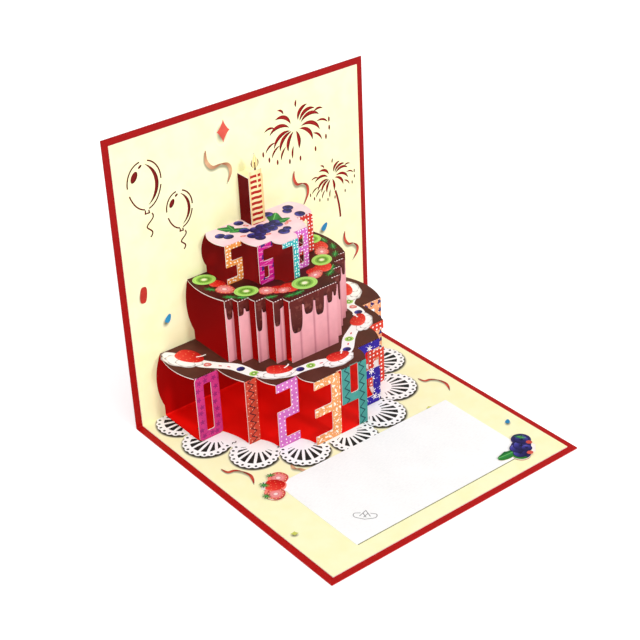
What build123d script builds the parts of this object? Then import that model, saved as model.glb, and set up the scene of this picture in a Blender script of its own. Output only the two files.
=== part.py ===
from build123d import *
from collections import namedtuple
from math import atan2, cos, degrees, hypot, radians, sin
import os

# A pop-up greeting card, standing open at a right angle. It has three separate pieces:
#   cover         a sheet of red card, folded once at the spine
#   popup_sheet   one die-cut, printed sheet glued inside the cover: a lying page, a standing
#                 page, and between them a three-tier cake with a candle, cut from the same
#                 sheet and folded forward
#   message_card  a loose card on the lying page, held at two corners by fruit-shaped tabs
#
# Frame: +X to the right, +Y to the back, +Z up. The origin is under the middle of the card.
# A tier is drawn in page measures: x across, "out" in front of the standing page and "up"
# above the lying page, both from the printed faces, which is where a fold line is marked.

# ---- driving dimensions, in millimetres ----
card_width = 145.0
panel_length = 150.0        # spine to free edge, on the lying and the standing half alike
cover_thickness = 0.5
cover_margin = 3.25         # the cover's border round the glued sheet
sheet_thickness = 0.4
message_thickness = 0.3
fold_radius = 0.15          # inside radius of every fold

tier_1_height = 35.0
tier_2_height = 33.0
tier_3_height = 20.2
candle_height = 24.4

tier_1_side_gap = 13.15     # from the sheet's side edge to the first tier's outer numeral
tier_2_ledge = 20.7         # how far each tier steps in at the sides from the one below it
tier_3_ledge = 10.0
tier_1_outs = [29.8, 47.0, 58.9, 68.6, 68.6, 58.9, 47.0, 29.8]
tier_2_outs = [28.6, 33.0, 38.1, 44.3, 48.8, 44.3, 38.1, 33.0, 28.6]
tier_3_outs = [17.4, 27.8, 33.5, 27.8, 17.4]
tier_1_back_inset = 0.5     # how far a side starts inside the tier's end strips at the page
tier_2_back_inset = -1.2
tier_3_back_inset = 1.2
tier_1_side_bulge = 3.2
tier_2_side_bulge = 2.4
tier_3_side_bulge = 2.6
tier_1_front_bend = 1.2     # how far a curve between two strips bows away from straight
tier_2_front_bend = 0.4
tier_3_front_bend = 0.9
tier_1_digits = [0, 1, 2, 3, 4, 5, 6, 7]
tier_3_digits = [5, 6, 7, 8, 9]
plain = -1                  # a strip with no numeral cut in it

# Each row is a list of relative widths: strip, gap, strip, gap ... strip.
tier_1_row = [13.2, 3.0, 6.5, 2.5, 12.2, 2.2, 15.0, 1.1, 14.8, 2.8, 13.6, 2.6, 10.0, 1.0, 12.1]
tier_2_row = [4.4, 0.0, 6.0, 0.0, 5.8, 0.0, 5.6, 0.0, 27.6, 0.0, 5.6, 0.0, 5.8, 0.0, 6.0, 0.0, 4.4]
tier_3_row = [9.2, 2.0, 8.4, 1.8, 9.0, 1.8, 8.4, 2.0, 9.2]

stroke_share = 0.34         # a numeral's upright strokes, as a share of its own width
bar_share = 0.13            # its level strokes, as a share of its own height
corner_share = 0.16         # its round corners, as a share of its own width

candle_width = 7.8
candle_out = 9.1
wax_height = 3.0            # the candle's rim, standing above its fold
wax_width = 6.8
wick_height = 0.9
wick_width = 1.0
flame_height = 7.8
flame_width = 4.4
flame_belly = 0.34          # how far up the flame it is widest, as a share of its height

message_front_gap = 9.3     # message card to the sheet's front edge
message_cake_gap = 11.8     # message card to the front of the cake
message_left_gap = 20.4
message_right_gap = 15.9
tab_clearance = 0.05
strawberry_tab_shift = (-1.2, 0.9)    # from the message card's corner to the flap's middle
berry_tab_shift = (-0.6, -4.2)
tab_fruit_radius = 4.7
tab_spread = 5.3            # from the middle fruit to the one on either side of it
tab_ramp_length = 2.0
tab_ramp_width = 6.0
leaf_size = (11.0, 5.0)     # the leaf beside the berries
leaf_shift = (-9.5, 1.0)    # from the flap's middle to the leaf's middle

# Headings are in degrees above level, as each one leaves the centre.
ray_headings = [60, 39, 20, -20, -50, -84, -108, -128, -147, 171, 139]
spark_headings = [86, 121, 30, 3, -37, -97, -118, -138, -158, 159]
dash_headings = [8, -8, -28, -56, -84, -102, -124, -142, -162]
ray_shares = (0.22, 0.56, 0.95)       # where a ray starts, is widest and ends, out of its reach
spark_shares = (0.78, 1.0, 1.2)
dash_share = 1.26
firework_reach = 16.2       # centre to the end of a ray, across
firework_rise = 14.6        # the same upwards, before it falls
firework_dip = 9.8          # and downwards
firework_fall = 3.0         # how far a ray's end has fallen
firework_bow = 2.4          # how far a level ray bows up between its ends
ray_width = 2.0
spark_width = 1.15
dash_width = 1.1
dash_length = 2.7
big_firework_inset = (38.4, 20.6)     # centre, in from the sheet's right and top edges
small_firework_inset = (17.8, 53.0)
small_firework_scale = 0.7
firework_stem = [(2.6, -12.0), (4.9, -21.0), (6.3, -34.0)]

balloon_width = 19.4
balloon_height = 23.6
balloon_line = 0.72         # width of the cut lines
balloon_taper = 0.1         # how much narrower the foot is than the crown
balloon_lines = [(4, 74), (98, 176), (194, 262), (278, 350)]          # degrees
# Shares of the half width and half height: from the middle, and the last two from the foot.
balloon_highlight = (-0.5, 0.45, 0.16, 0.24)                          # place, then half size
balloon_glint = (-0.14, 0.8, 0.24)                                    # place, then length
balloon_crescent = [(84, 0.87, 0.87), (6, 0.84, 0.62), (276, 0.87, 0.87)]  # degrees, outer, inner
balloon_knot = [(-0.10, -0.02), (-0.12, -0.17), (0.10, -0.17), (0.08, -0.04)]
balloon_string = [(0.23, -0.22), (0.27, -0.40), (-0.10, -0.75), (0.13, -0.95), (0.03, -1.20)]
big_balloon_inset = (15.6, 23.6)      # centre, in from the sheet's left and top edges
small_balloon_inset = (32.5, 41.1)
small_balloon_scale = 0.79

# ---- what follows from them ----
outer_radius = fold_radius + sheet_thickness
floor_z = cover_thickness + sheet_thickness
wall_y = panel_length / 2 - cover_thickness - sheet_thickness
page_half = card_width / 2 - cover_margin
page_length = panel_length - cover_margin - cover_thickness - sheet_thickness

tier_1_top = tier_1_height
tier_2_top = tier_1_top + tier_2_height
tier_3_top = tier_2_top + tier_3_height
candle_top = tier_3_top + candle_height

row_1_half = page_half - tier_1_side_gap
row_2_half = row_1_half - tier_2_ledge
row_3_half = row_2_half - tier_3_ledge

cake_front = max(tier_1_outs)
message_out = (cake_front + message_cake_gap, page_length - message_front_gap)
message_x = (message_left_gap - page_half, page_half - message_right_gap)

Strip = namedtuple("Strip", "left right out digit")
Tier = namedtuple("Tier", "level top back_half bulge curve strips")


# ---- planes in page measures ----
def level_plane(up=0.0):
    """(x, out) on the printed face of a level sheet; its paper lies below."""
    return Plane(origin=(0, wall_y, floor_z + up), x_dir=(1, 0, 0), z_dir=(0, 0, -1))


def upright_plane(out=0.0):
    """(x, up) on the printed face of an upright sheet; its paper lies behind."""
    return Plane(origin=(0, wall_y - out, floor_z), x_dir=(1, 0, 0), z_dir=(0, -1, 0))


def section_plane(x):
    """(out, up) on a cut across the card; extruding goes to the left."""
    return Plane(origin=(x, wall_y, floor_z), x_dir=(0, -1, 0), z_dir=(-1, 0, 0))


def block(x, out, up):
    """A box from three (low, high) pairs in page measures."""
    outline = Polyline((out[0], up[0]), (out[1], up[0]), (out[1], up[1]), (out[0], up[1]), close=True)
    return extrude(section_plane(x[1]) * make_face(outline), x[1] - x[0])


def level_sheet(outline, up):
    return extrude(level_plane(up) * make_face(outline), sheet_thickness)


# ---- the tiers ----
def row(half, shares, outs, digits):
    """Strips side by side across 2 * half, from relative strip and gap widths."""
    scale = 2 * half / sum(shares)
    strips = []
    left = -half
    for i, out in enumerate(outs):
        right = left + shares[2 * i] * scale
        strips.append(Strip(left, right, out, digits[i]))
        gap = shares[2 * i + 1] * scale if i + 1 < len(outs) else 0.0
        left = right + gap
    return strips


def step(before, after, bend, reach):
    """The curve from one strip's corner to the next one's, bent away from the middle."""
    start = (before.right, before.out + reach)
    end = (after.left, after.out + reach)
    if before.out == after.out:
        return Line(start, end)
    side = -1 if before.out < after.out else 1
    middle = ((start[0] + end[0]) / 2 + side * bend, (start[1] + end[1]) / 2)
    return ThreePointArc(start, middle, end)


def front_edges(strips, bend, reach):
    """The run of folds and curves along the front of a tier, from left to right."""
    edges = []
    for i, strip in enumerate(strips):
        edges.append(Line((strip.left, strip.out + reach), (strip.right, strip.out + reach)))
        if i + 1 < len(strips):
            after = strips[i + 1]
            if after.left > strip.right or after.out != strip.out:
                edges.append(step(strip, after, bend, reach))
    return edges


def side_arc(tier, side, to_plane):
    """A tier's outer side, from the standing page to its first or last strip."""
    strip = tier.strips[0] if side < 0 else tier.strips[-1]
    edge = strip.left if side < 0 else strip.right
    back = side * tier.back_half
    middle = (back + edge) / 2 + side * tier.bulge
    ends = [to_plane(back, fold_radius), to_plane(edge, strip.out - outer_radius)]
    if tier.bulge == 0:
        return Line(*ends)
    return ThreePointArc(ends[0], to_plane(middle, strip.out / 2), ends[1])


def tier_top(tier):
    """The level sheet on top of a tier."""
    def flat(x, out):
        return (x, out)

    sides = [side_arc(tier, side, flat) for side in (-1, 1)]
    back = Line((-tier.back_half, fold_radius), (tier.back_half, fold_radius))
    outline = front_edges(tier.strips, tier.curve, -outer_radius) + sides + [back]
    return level_sheet(outline, tier.top)


def wall_hole(tier):
    """What the tier leaves open in the standing page: its own outline, seen in the flat."""
    def flat(x, out):
        return (x, tier.top - out)

    arcs = [side_arc(tier, side, flat) for side in (-1, 1)]
    rim = tier.top - fold_radius
    foot = tier.level + fold_radius
    lines = [Line((-tier.back_half, rim), (tier.back_half, rim))]
    for edge, strip in ((tier.strips[0].left, tier.strips[0]), (tier.strips[-1].right, tier.strips[-1])):
        lines.append(Line((edge, tier.top - strip.out + outer_radius), (edge, foot)))
    lines.append(Line((tier.strips[0].left, foot), (tier.strips[-1].right, foot)))
    face = make_face(arcs + lines)
    bottom = block((tier.strips[0].left, tier.strips[-1].right),
                   (-sheet_thickness, fold_radius), (tier.level - sheet_thickness, foot))
    rim_block = block((-tier.back_half, tier.back_half),
                      (-sheet_thickness, 0), (rim, tier.top + fold_radius))
    return extrude(upright_plane() * face, -sheet_thickness) + bottom + rim_block


def level_hole(tier):
    """What the tier leaves open in the sheet that it stands on."""
    left = tier.strips[0].left
    right = tier.strips[-1].right
    back = -sheet_thickness
    sides = [Line((left, back), (left, tier.strips[0].out + fold_radius)),
             Line((right, back), (right, tier.strips[-1].out + fold_radius)),
             Line((left, back), (right, back))]
    outline = front_edges(tier.strips, -tier.curve, fold_radius) + sides
    return level_sheet(outline, tier.level)


def back_fold(tier_level, half):
    """The valley fold where a level sheet leaves the standing page."""
    centre = (fold_radius, tier_level + fold_radius)
    inner = CenterArc(centre, fold_radius, 180, 90)
    outer = CenterArc(centre, outer_radius, 180, 90)
    ends = [Line(inner @ 0, outer @ 0), Line(inner @ 1, outer @ 1)]
    return extrude(section_plane(half) * make_face([inner, outer] + ends), 2 * half)


def folded_strip(strip, level, top):
    """An upright strip with the fold at its foot and the fold at its top."""
    foot = (strip.out + fold_radius, level + fold_radius)
    head = (strip.out - outer_radius, top - outer_radius)
    foot_inner = CenterArc(foot, fold_radius, 180, 90)
    foot_outer = CenterArc(foot, outer_radius, 180, 90)
    head_inner = CenterArc(head, fold_radius, 0, 90)
    head_outer = CenterArc(head, outer_radius, 0, 90)
    edges = [foot_inner, foot_outer, head_inner, head_outer,
             Line(foot_inner @ 1, foot_outer @ 1), Line(head_inner @ 1, head_outer @ 1),
             Line(foot_inner @ 0, head_outer @ 0), Line(foot_outer @ 0, head_inner @ 0)]
    return extrude(section_plane(strip.right) * make_face(edges), strip.right - strip.left)


def numeral_cuts(strip, level, top):
    """The paper cut away from a strip to leave a block numeral, as one sketch in (x, up)."""
    width = strip.right - strip.left
    height = top - level
    stroke = stroke_share * width
    bar = bar_share * height
    middle = (level + top) / 2
    left, right = strip.left, strip.right
    inside = (left + stroke, right - stroke)
    open_left = (left - 1, right - stroke)
    open_right = (left + stroke, right + 1)
    upper = (middle + bar / 2, top - bar)
    lower = (level + bar, middle - bar / 2)
    below = level - outer_radius
    above = top + outer_radius
    windows = {
        0: [(inside, (lower[0], upper[1]))],
        1: [],
        2: [(open_left, upper), (open_right, lower)],
        3: [(open_left, upper), (open_left, lower)],
        4: [(inside, (upper[0], above)), (open_left, (below, lower[1]))],
        5: [(open_right, upper), (open_left, lower)],
        6: [(open_right, upper), (inside, lower)],
        7: [(open_left, (below, upper[1]))],
        8: [(inside, upper), (inside, lower)],
        9: [(inside, upper), (open_left, lower)],
    }[strip.digit]
    # the corners that are round: lower left, lower right, upper right, upper left
    rounded = {0: "1111", 1: "0000", 2: "0010", 3: "0110", 4: "0000",
               5: "0100", 6: "1101", 7: "0000", 8: "1111", 9: "0111"}[strip.digit]
    cuts = Sketch()
    for x, up in windows:
        centre = Location(((x[0] + x[1]) / 2, (up[0] + up[1]) / 2))
        cuts += centre * RectangleRounded(x[1] - x[0], up[1] - up[0], stroke / 5)
    radius = corner_share * width
    corners = [(left, level, 1, 1), (right, level, -1, 1), (right, top, -1, -1), (left, top, 1, -1)]
    for (x, up, across, inward), is_round in zip(corners, rounded):
        if is_round == "1":
            square = Location((x + across * radius / 2, up + inward * radius / 2)) * Rectangle(radius, radius)
            rounding = Location((x + across * radius, up + inward * radius)) * Circle(radius)
            cuts += square - rounding
    return cuts


def tier_strips(tier):
    """All the upright strips of a tier, with their numerals cut out."""
    strips = []
    for strip in tier.strips:
        paper = folded_strip(strip, tier.level, tier.top)
        if strip.digit != plain:
            cuts = numeral_cuts(strip, tier.level, tier.top)
            if cuts.area > 0:
                depth = fold_radius + outer_radius
                paper -= extrude(upright_plane(strip.out + fold_radius) * cuts, -depth)
        strips.append(paper)
    return strips


# ---- the candle's flame ----
def flame_outline():
    """The candle's rim, with a pointed flame on a short wick, in (x, height above the fold)."""
    half = flame_width / 2
    foot = wax_height + wick_height
    tip = (0, foot + flame_height)
    widest = foot + flame_height * flame_belly
    right = Spline((0, foot), (half, widest), tip, tangents=[(1, 0.25), (-0.25, 1)])
    left = Spline((0, foot), (-half, widest), tip, tangents=[(-1, 0.25), (0.25, 1)])
    flame = make_face([left, right])
    wick = Location((0, wax_height + wick_height / 2)) * Rectangle(wick_width, wick_height + wick_width)
    wax = Location((0, wax_height / 2)) * Rectangle(wax_width, wax_height)
    return flame + wick + wax


def standing_flame():
    """The rim and the flame, rising from the candle's front fold in the plane of its face."""
    rim_foot = Location((0, -outer_radius / 2)) * Rectangle(wax_width, outer_radius)
    face = Location((0, candle_top)) * (flame_outline() + rim_foot)
    return extrude(upright_plane(candle_out) * face, -sheet_thickness)


# ---- slots cut in the standing page ----
def sliver(start, middle, end, width):
    """A crescent slot: pointed ends, bowed through middle, and width across its waist."""
    chord = Vector(*end) - Vector(*start)
    normal = Vector(-chord.Y, chord.X).normalized()
    over = Vector(*middle) + normal * (width / 2)
    under = Vector(*middle) - normal * (width / 2)
    return make_face([ThreePointArc(start, over, end), ThreePointArc(start, under, end)])


def firework_place(scale, heading, share, bow):
    """A point of a ray in (x, up): it flies straight out, and falls as the square of its share.

    The bow moves it square to its flight, to the upper side, and less the steeper it flies.
    """
    angle = radians(heading)
    rise = firework_rise if heading > 0 else firework_dip
    side = 1 if cos(angle) > 0 else -1
    push = side * bow * abs(cos(angle)) ** 0.5
    across = firework_reach * share * cos(angle) - push * sin(angle)
    up = rise * share * sin(angle) - firework_fall * share ** 2 + push * cos(angle)
    return (scale * across, scale * up)


def firework(scale):
    """Bowed rays round a centre, with finer sparks between them and falling dashes beyond."""
    shapes = []
    for headings, shares, bow, width in ((ray_headings, ray_shares, firework_bow, ray_width),
                                         (spark_headings, spark_shares, firework_bow / 2, spark_width)):
        for heading in headings:
            start, middle, end = [firework_place(scale, heading, share, bow * at_middle)
                                  for share, at_middle in zip(shares, (0, 1, 0))]
            shapes.append(sliver(start, middle, end, scale * width))
    for heading in dash_headings:
        place = firework_place(scale, heading, dash_share, 0)
        shapes.append(Location(place) * Ellipse(scale * dash_width / 2, scale * dash_length / 2))
    return shapes


def line_slot(points):
    """A cut line of the balloons' line width through a few points."""
    return trace(Spline(*points), balloon_line)


def balloon(scale, centre):
    """An egg-shaped balloon drawn in cut lines, with a highlight, a knot and a string."""
    half = balloon_width / 2 * scale
    rise = balloon_height / 2 * scale
    cx, cy = centre

    def rim(degrees, share=1.0):
        taper = 1 - balloon_taper * (1 - sin(radians(degrees)))
        return (cx + share * half * taper * cos(radians(degrees)), cy + share * rise * sin(radians(degrees)))

    def below(points):
        return [(cx + across * half, cy - rise + up * rise) for across, up in points]

    shapes = []
    for first, last in balloon_lines:
        third = (last - first) / 3
        shapes.append(line_slot([rim(first), rim(first + third), rim(last - third), rim(last)]))
    outer = ThreePointArc(*[rim(degrees, share) for degrees, share, _ in balloon_crescent])
    inner = ThreePointArc(*[rim(degrees, share) for degrees, _, share in balloon_crescent])
    shapes.append(make_face([outer, inner]))
    across, up, half_width, half_height = balloon_highlight
    highlight = Location((cx + across * half, cy + up * rise), -30)
    shapes.append(highlight * Ellipse(half_width * half, half_height * rise))
    across, up, length = balloon_glint
    glint = Location((cx + across * half, cy + up * rise), 35)
    shapes.append(glint * Ellipse(length * half / 2, balloon_line * 0.8))
    shapes.append(trace(Polyline(*below(balloon_knot)), balloon_line))
    shapes.append(line_slot(below(balloon_string)))
    return shapes


def page_slots():
    """Every slot of the standing page, as one list of faces in (x, up)."""
    slots = []
    for inset, scale in ((big_firework_inset, 1.0), (small_firework_inset, small_firework_scale)):
        centre = Location((page_half - inset[0], page_length - inset[1]))
        slots += [centre * shape for shape in firework(scale)]
    stem = trace(Spline(*[(small_firework_scale * x, small_firework_scale * up) for x, up in firework_stem]),
                 spark_width)
    foot = Location((page_half - small_firework_inset[0], page_length - small_firework_inset[1]))
    slots.append(foot * stem)
    for inset, scale in ((big_balloon_inset, 1.0), (small_balloon_inset, small_balloon_scale)):
        slots += balloon(scale, (inset[0] - page_half, page_length - inset[1]))
    return slots


# ---- the tabs that hold the message card ----
def tab(middle, away):
    """A flap of three fruits in a row over one corner of the message card, and its hole.

    The flap lies on the card and comes down to the page by a short ramp beyond the corner.
    """
    heading = degrees(atan2(away[1], away[0]))
    ramp_start = tab_fruit_radius
    ramp_end = ramp_start + tab_ramp_length
    lift = message_thickness + tab_clearance
    fruit = Sketch()
    for place in (-tab_spread, 0, tab_spread):
        centre = (middle[0] - place * sin(radians(heading)), middle[1] + place * cos(radians(heading)))
        fruit += Location(centre) * Circle(tab_fruit_radius)
    if away[0] > 0:
        leaf_middle = (middle[0] + leaf_shift[0], middle[1] + leaf_shift[1])
        fruit += Location(leaf_middle) * Ellipse(leaf_size[0] / 2, leaf_size[1] / 2)
    root = Location(middle, heading)
    flap = fruit + root * Rectangle(ramp_start, tab_ramp_width, align=(Align.MIN, Align.CENTER))
    hole = fruit + root * Rectangle(ramp_end, tab_ramp_width, align=(Align.MIN, Align.CENTER))
    along = (cos(radians(heading)), -sin(radians(heading)), 0)
    across = (-sin(radians(heading)), -cos(radians(heading)), 0)
    section = Plane(origin=(middle[0], wall_y - middle[1], floor_z), x_dir=along, z_dir=across)
    overlap = 0.2
    slope = make_face(Polyline((ramp_start - overlap, lift), (ramp_start, lift), (ramp_end, -sheet_thickness),
                               (ramp_end + overlap, -sheet_thickness), (ramp_end + overlap, 0), (ramp_end, 0),
                               (ramp_start, lift + sheet_thickness),
                               (ramp_start - overlap, lift + sheet_thickness), close=True))
    ramp = extrude(section * slope, tab_ramp_width / 2, both=True)
    flap_paper = extrude(level_plane(lift + sheet_thickness) * flap, sheet_thickness)
    hole_paper = extrude(level_plane() * hole, sheet_thickness)
    return flap_paper + ramp, hole_paper


# ---- the three pieces ----
tiers = [
    Tier(0.0, tier_1_top, row_1_half - tier_1_back_inset, tier_1_side_bulge, tier_1_front_bend,
         row(row_1_half, tier_1_row, tier_1_outs, tier_1_digits)),
    Tier(tier_1_top, tier_2_top, row_2_half - tier_2_back_inset, tier_2_side_bulge, tier_2_front_bend,
         row(row_2_half, tier_2_row, tier_2_outs, [plain] * len(tier_2_outs))),
    Tier(tier_2_top, tier_3_top, row_3_half - tier_3_back_inset, tier_3_side_bulge, tier_3_front_bend,
         row(row_3_half, tier_3_row, tier_3_outs, tier_3_digits)),
    Tier(tier_3_top, candle_top, candle_width / 2, 0.0, 0.0,
         [Strip(-candle_width / 2, candle_width / 2, candle_out, plain)]),
]


def cover():
    """Red card folded once, round the outside of the sheet's own fold."""
    back = panel_length / 2
    inner = back - cover_thickness
    profile = make_face(Polyline((-back, 0), (back, 0), (back, panel_length), (inner, panel_length),
                                 (inner, cover_thickness), (-back, cover_thickness), close=True))
    corners = profile.vertices()
    outer_corner = corners.sort_by_distance((back, 0, 0))[0]
    inner_corner = corners.sort_by_distance((inner, cover_thickness, 0))[0]
    profile = fillet(outer_corner, outer_radius + cover_thickness)
    profile = fillet(inner_corner, outer_radius)
    return extrude(Plane.YZ * profile, card_width / 2, both=True)


def pages():
    """The lying page, the standing page and the fold between them."""
    width = (-page_half, page_half)
    lying = block(width, (fold_radius, page_length), (-sheet_thickness, 0))
    standing = block(width, (-sheet_thickness, 0), (fold_radius, page_length))
    return lying, standing, back_fold(0.0, page_half)


def popup_sheet():
    """The pages, the cake and the candle, as the one sheet of paper that they are cut from."""
    lying, standing, spine = pages()
    levels = [lying] + [tier_top(tier) for tier in tiers]
    folds = [spine] + [back_fold(tier.top, tier.back_half) for tier in tiers]
    upright = []
    for i, tier in enumerate(tiers):
        opening = wall_hole(tier)
        standing -= opening
        folds[i] -= opening
        levels[i] -= level_hole(tier)
        upright += tier_strips(tier)
    standing -= extrude(upright_plane() * (Sketch() + page_slots()), -sheet_thickness)

    upright.append(standing_flame())
    back_left = (message_x[0] + strawberry_tab_shift[0], message_out[0] + strawberry_tab_shift[1])
    front_right = (message_x[1] + berry_tab_shift[0], message_out[1] + berry_tab_shift[1])
    for middle, away in ((back_left, (-1, -1)), (front_right, (1, 1))):
        flap, hole = tab(middle, away)
        levels[0] -= hole
        upright.append(flap)
    return levels[0] + ([standing] + folds + levels[1:] + upright)


def message_card():
    """The loose card, flat on the lying page."""
    return block(message_x, message_out, (0, message_thickness))


os.makedirs("parts", exist_ok=True)
for name, piece in (("cover", cover()), ("popup_sheet", popup_sheet()), ("message_card", message_card())):
    export_step(piece, f"parts/{name}.step")
    print(name, "solids", len(piece.solids()), "volume", round(piece.volume, 2), "valid", piece.is_valid)
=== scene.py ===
# %% [markdown]
# # A pop-up birthday card
# The frame is the card itself: a folded red cover, one die-cut sheet that folds forward into a
# three-tier cake, and a loose message card. The real sheet is plain paper that is printed in
# colour before it is cut. This lesson does the same: the paper gets its own finish, and each
# printed area is a film of ink lying a few hundredths of a millimetre above it.

# %% Load the frame
import bpy
import numpy as np
from mathutils import Matrix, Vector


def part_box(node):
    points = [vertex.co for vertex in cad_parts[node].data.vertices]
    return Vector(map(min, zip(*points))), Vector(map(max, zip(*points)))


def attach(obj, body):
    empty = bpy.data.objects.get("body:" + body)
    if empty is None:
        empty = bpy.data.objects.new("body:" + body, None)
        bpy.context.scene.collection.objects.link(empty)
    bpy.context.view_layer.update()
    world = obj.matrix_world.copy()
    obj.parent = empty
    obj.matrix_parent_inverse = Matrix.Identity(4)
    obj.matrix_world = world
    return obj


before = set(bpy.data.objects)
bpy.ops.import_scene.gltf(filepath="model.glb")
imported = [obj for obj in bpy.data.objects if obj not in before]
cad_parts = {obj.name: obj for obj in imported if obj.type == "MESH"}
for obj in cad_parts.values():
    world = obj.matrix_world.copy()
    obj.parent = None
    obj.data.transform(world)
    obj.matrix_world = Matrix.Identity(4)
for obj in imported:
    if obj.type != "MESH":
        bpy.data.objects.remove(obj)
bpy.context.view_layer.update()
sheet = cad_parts["popup_sheet"]

# %% [markdown]
# Three helpers carry every finish. Colours are given as the sRGB codes that a print shop would
# use, and turned to linear light once. One function adds a node with its settings and links.
# One starts a material with the roughness of its real surface and the fine tooth of paper.

# %% Colour, node and material helpers
MM = 0.001


def ink(code):
    """The sRGB curve undone for each channel: c / 12.92 near black, ((c + .055) / 1.055) ^ 2.4 above."""
    channels = np.array([int(code[i:i + 2], 16) for i in (1, 3, 5)]) / 255
    linear = np.where(channels <= 0.04045, channels / 12.92, ((channels + 0.055) / 1.055) ** 2.4)
    return (*map(float, linear), 1.0)


def add(tree, kind, inputs=None, **settings):
    """Adds a node. An input's value is a number, a colour or another node's socket."""
    node = tree.nodes.new(kind)
    for key, value in settings.items():
        setattr(node, key, value)
    for key, value in (inputs or {}).items():
        if isinstance(value, bpy.types.NodeSocket):
            tree.links.new(value, node.inputs[key])
        else:
            node.inputs[key].default_value = value
    return node


def paper_finish(name, roughness, tooth_mm=0.35, tooth=0.25, sheen=0.0):
    """A material with paper's tooth: noise of tooth_mm, raised by a few microns."""
    made = bpy.data.materials.new(name)
    made.use_nodes = True
    tree = made.node_tree
    surface = tree.nodes["Principled BSDF"]
    surface.inputs["Roughness"].default_value = roughness
    surface.inputs["IOR"].default_value = 1.5
    surface.inputs["Specular IOR Level"].default_value = 0.12
    surface.inputs["Sheen Weight"].default_value = sheen
    place = add(tree, "ShaderNodeTexCoord").outputs["Object"]
    grain = add(tree, "ShaderNodeTexNoise", {"Vector": place, "Scale": 1 / (tooth_mm * MM), "Detail": 3.0})
    bump = add(tree, "ShaderNodeBump", {"Height": grain.outputs["Fac"], "Strength": tooth, "Distance": 0.02 * MM})
    tree.links.new(bump.outputs["Normal"], surface.inputs["Normal"])
    return made, tree, surface, place


def tint(tree, share, below, above):
    """below where share is 0 and above where it is 1."""
    mix = add(tree, "ShaderNodeMix", data_type="RGBA")
    for slot, value in ((0, share), (6, below), (7, above)):
        if isinstance(value, bpy.types.NodeSocket):
            tree.links.new(value, mix.inputs[slot])
        else:
            mix.inputs[slot].default_value = value
    return mix.outputs[2]


def maths(tree, operation, first, second=0.0, third=0.0):
    return add(tree, "ShaderNodeMath", {0: first, 1: second, 2: third}, operation=operation).outputs[0]


def mottled(tree, colour, place, share=0.06, size_mm=6.0):
    """A printed tone is never quite even: a slow noise darkens it by up to the given share."""
    cloud = add(tree, "ShaderNodeTexNoise", {"Vector": place, "Scale": 1 / (size_mm * MM), "Detail": 4.0})
    level = add(tree, "ShaderNodeMapRange", {0: cloud.outputs["Fac"], 1: 0.3, 2: 0.7, 3: 1 - share, 4: 1.0})
    tone = colour[:3] if isinstance(colour, tuple) else colour
    shade = add(tree, "ShaderNodeVectorMath", {0: tone, "Scale": level.outputs[0]}, operation="SCALE")
    return shade.outputs[0]


def ramp(tree, share, stops, ease="LINEAR"):
    """Colours at shares of the way; between them they run into each other."""
    node = add(tree, "ShaderNodeValToRGB", {"Fac": share})
    node.color_ramp.interpolation = ease
    spots = node.color_ramp.elements
    while len(spots) > 1:
        spots.remove(spots[-1])
    spots[0].position, spots[0].color = stops[0][0], ink(stops[0][1])
    for where, colour in stops[1:]:
        spots.new(where).color = ink(colour)
    return node.outputs["Color"]


def clothe(piece, material):
    piece.data.materials.clear()
    piece.data.materials.append(material)
    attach(piece, "root")
    return piece


print("helpers ready")

# %% [markdown]
# ## The card stock
# The cover is solid red card, dyed through and calendered, so it has a low sheen and a fine
# even grain. The cake's sheet is white woodfree paper: its cut edges and its back stay pale.
# The message card is a brighter, smoother white. Each gets a noise at the size of its fibres.

# %% Card stock materials
def card_stock(name, colour, deep, roughness, fibre_mm):
    """Fibres: noise stretched along x, mixing two near tones."""
    made, tree, surface, place = paper_finish(name, roughness)
    long_way = add(tree, "ShaderNodeMapping", {"Vector": place, "Scale": (0.35, 1.0, 1.0)}).outputs[0]
    fibre = add(tree, "ShaderNodeTexNoise", {"Vector": long_way, "Scale": 1 / (fibre_mm * MM), "Detail": 5.0})
    share = add(tree, "ShaderNodeMapRange", {0: fibre.outputs["Fac"], 1: 0.35, 2: 0.65}).outputs[0]
    tree.links.new(mottled(tree, tint(tree, share, ink(colour), ink(deep)), place, 0.05, 20.0),
                   surface.inputs["Base Color"])
    return made


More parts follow.
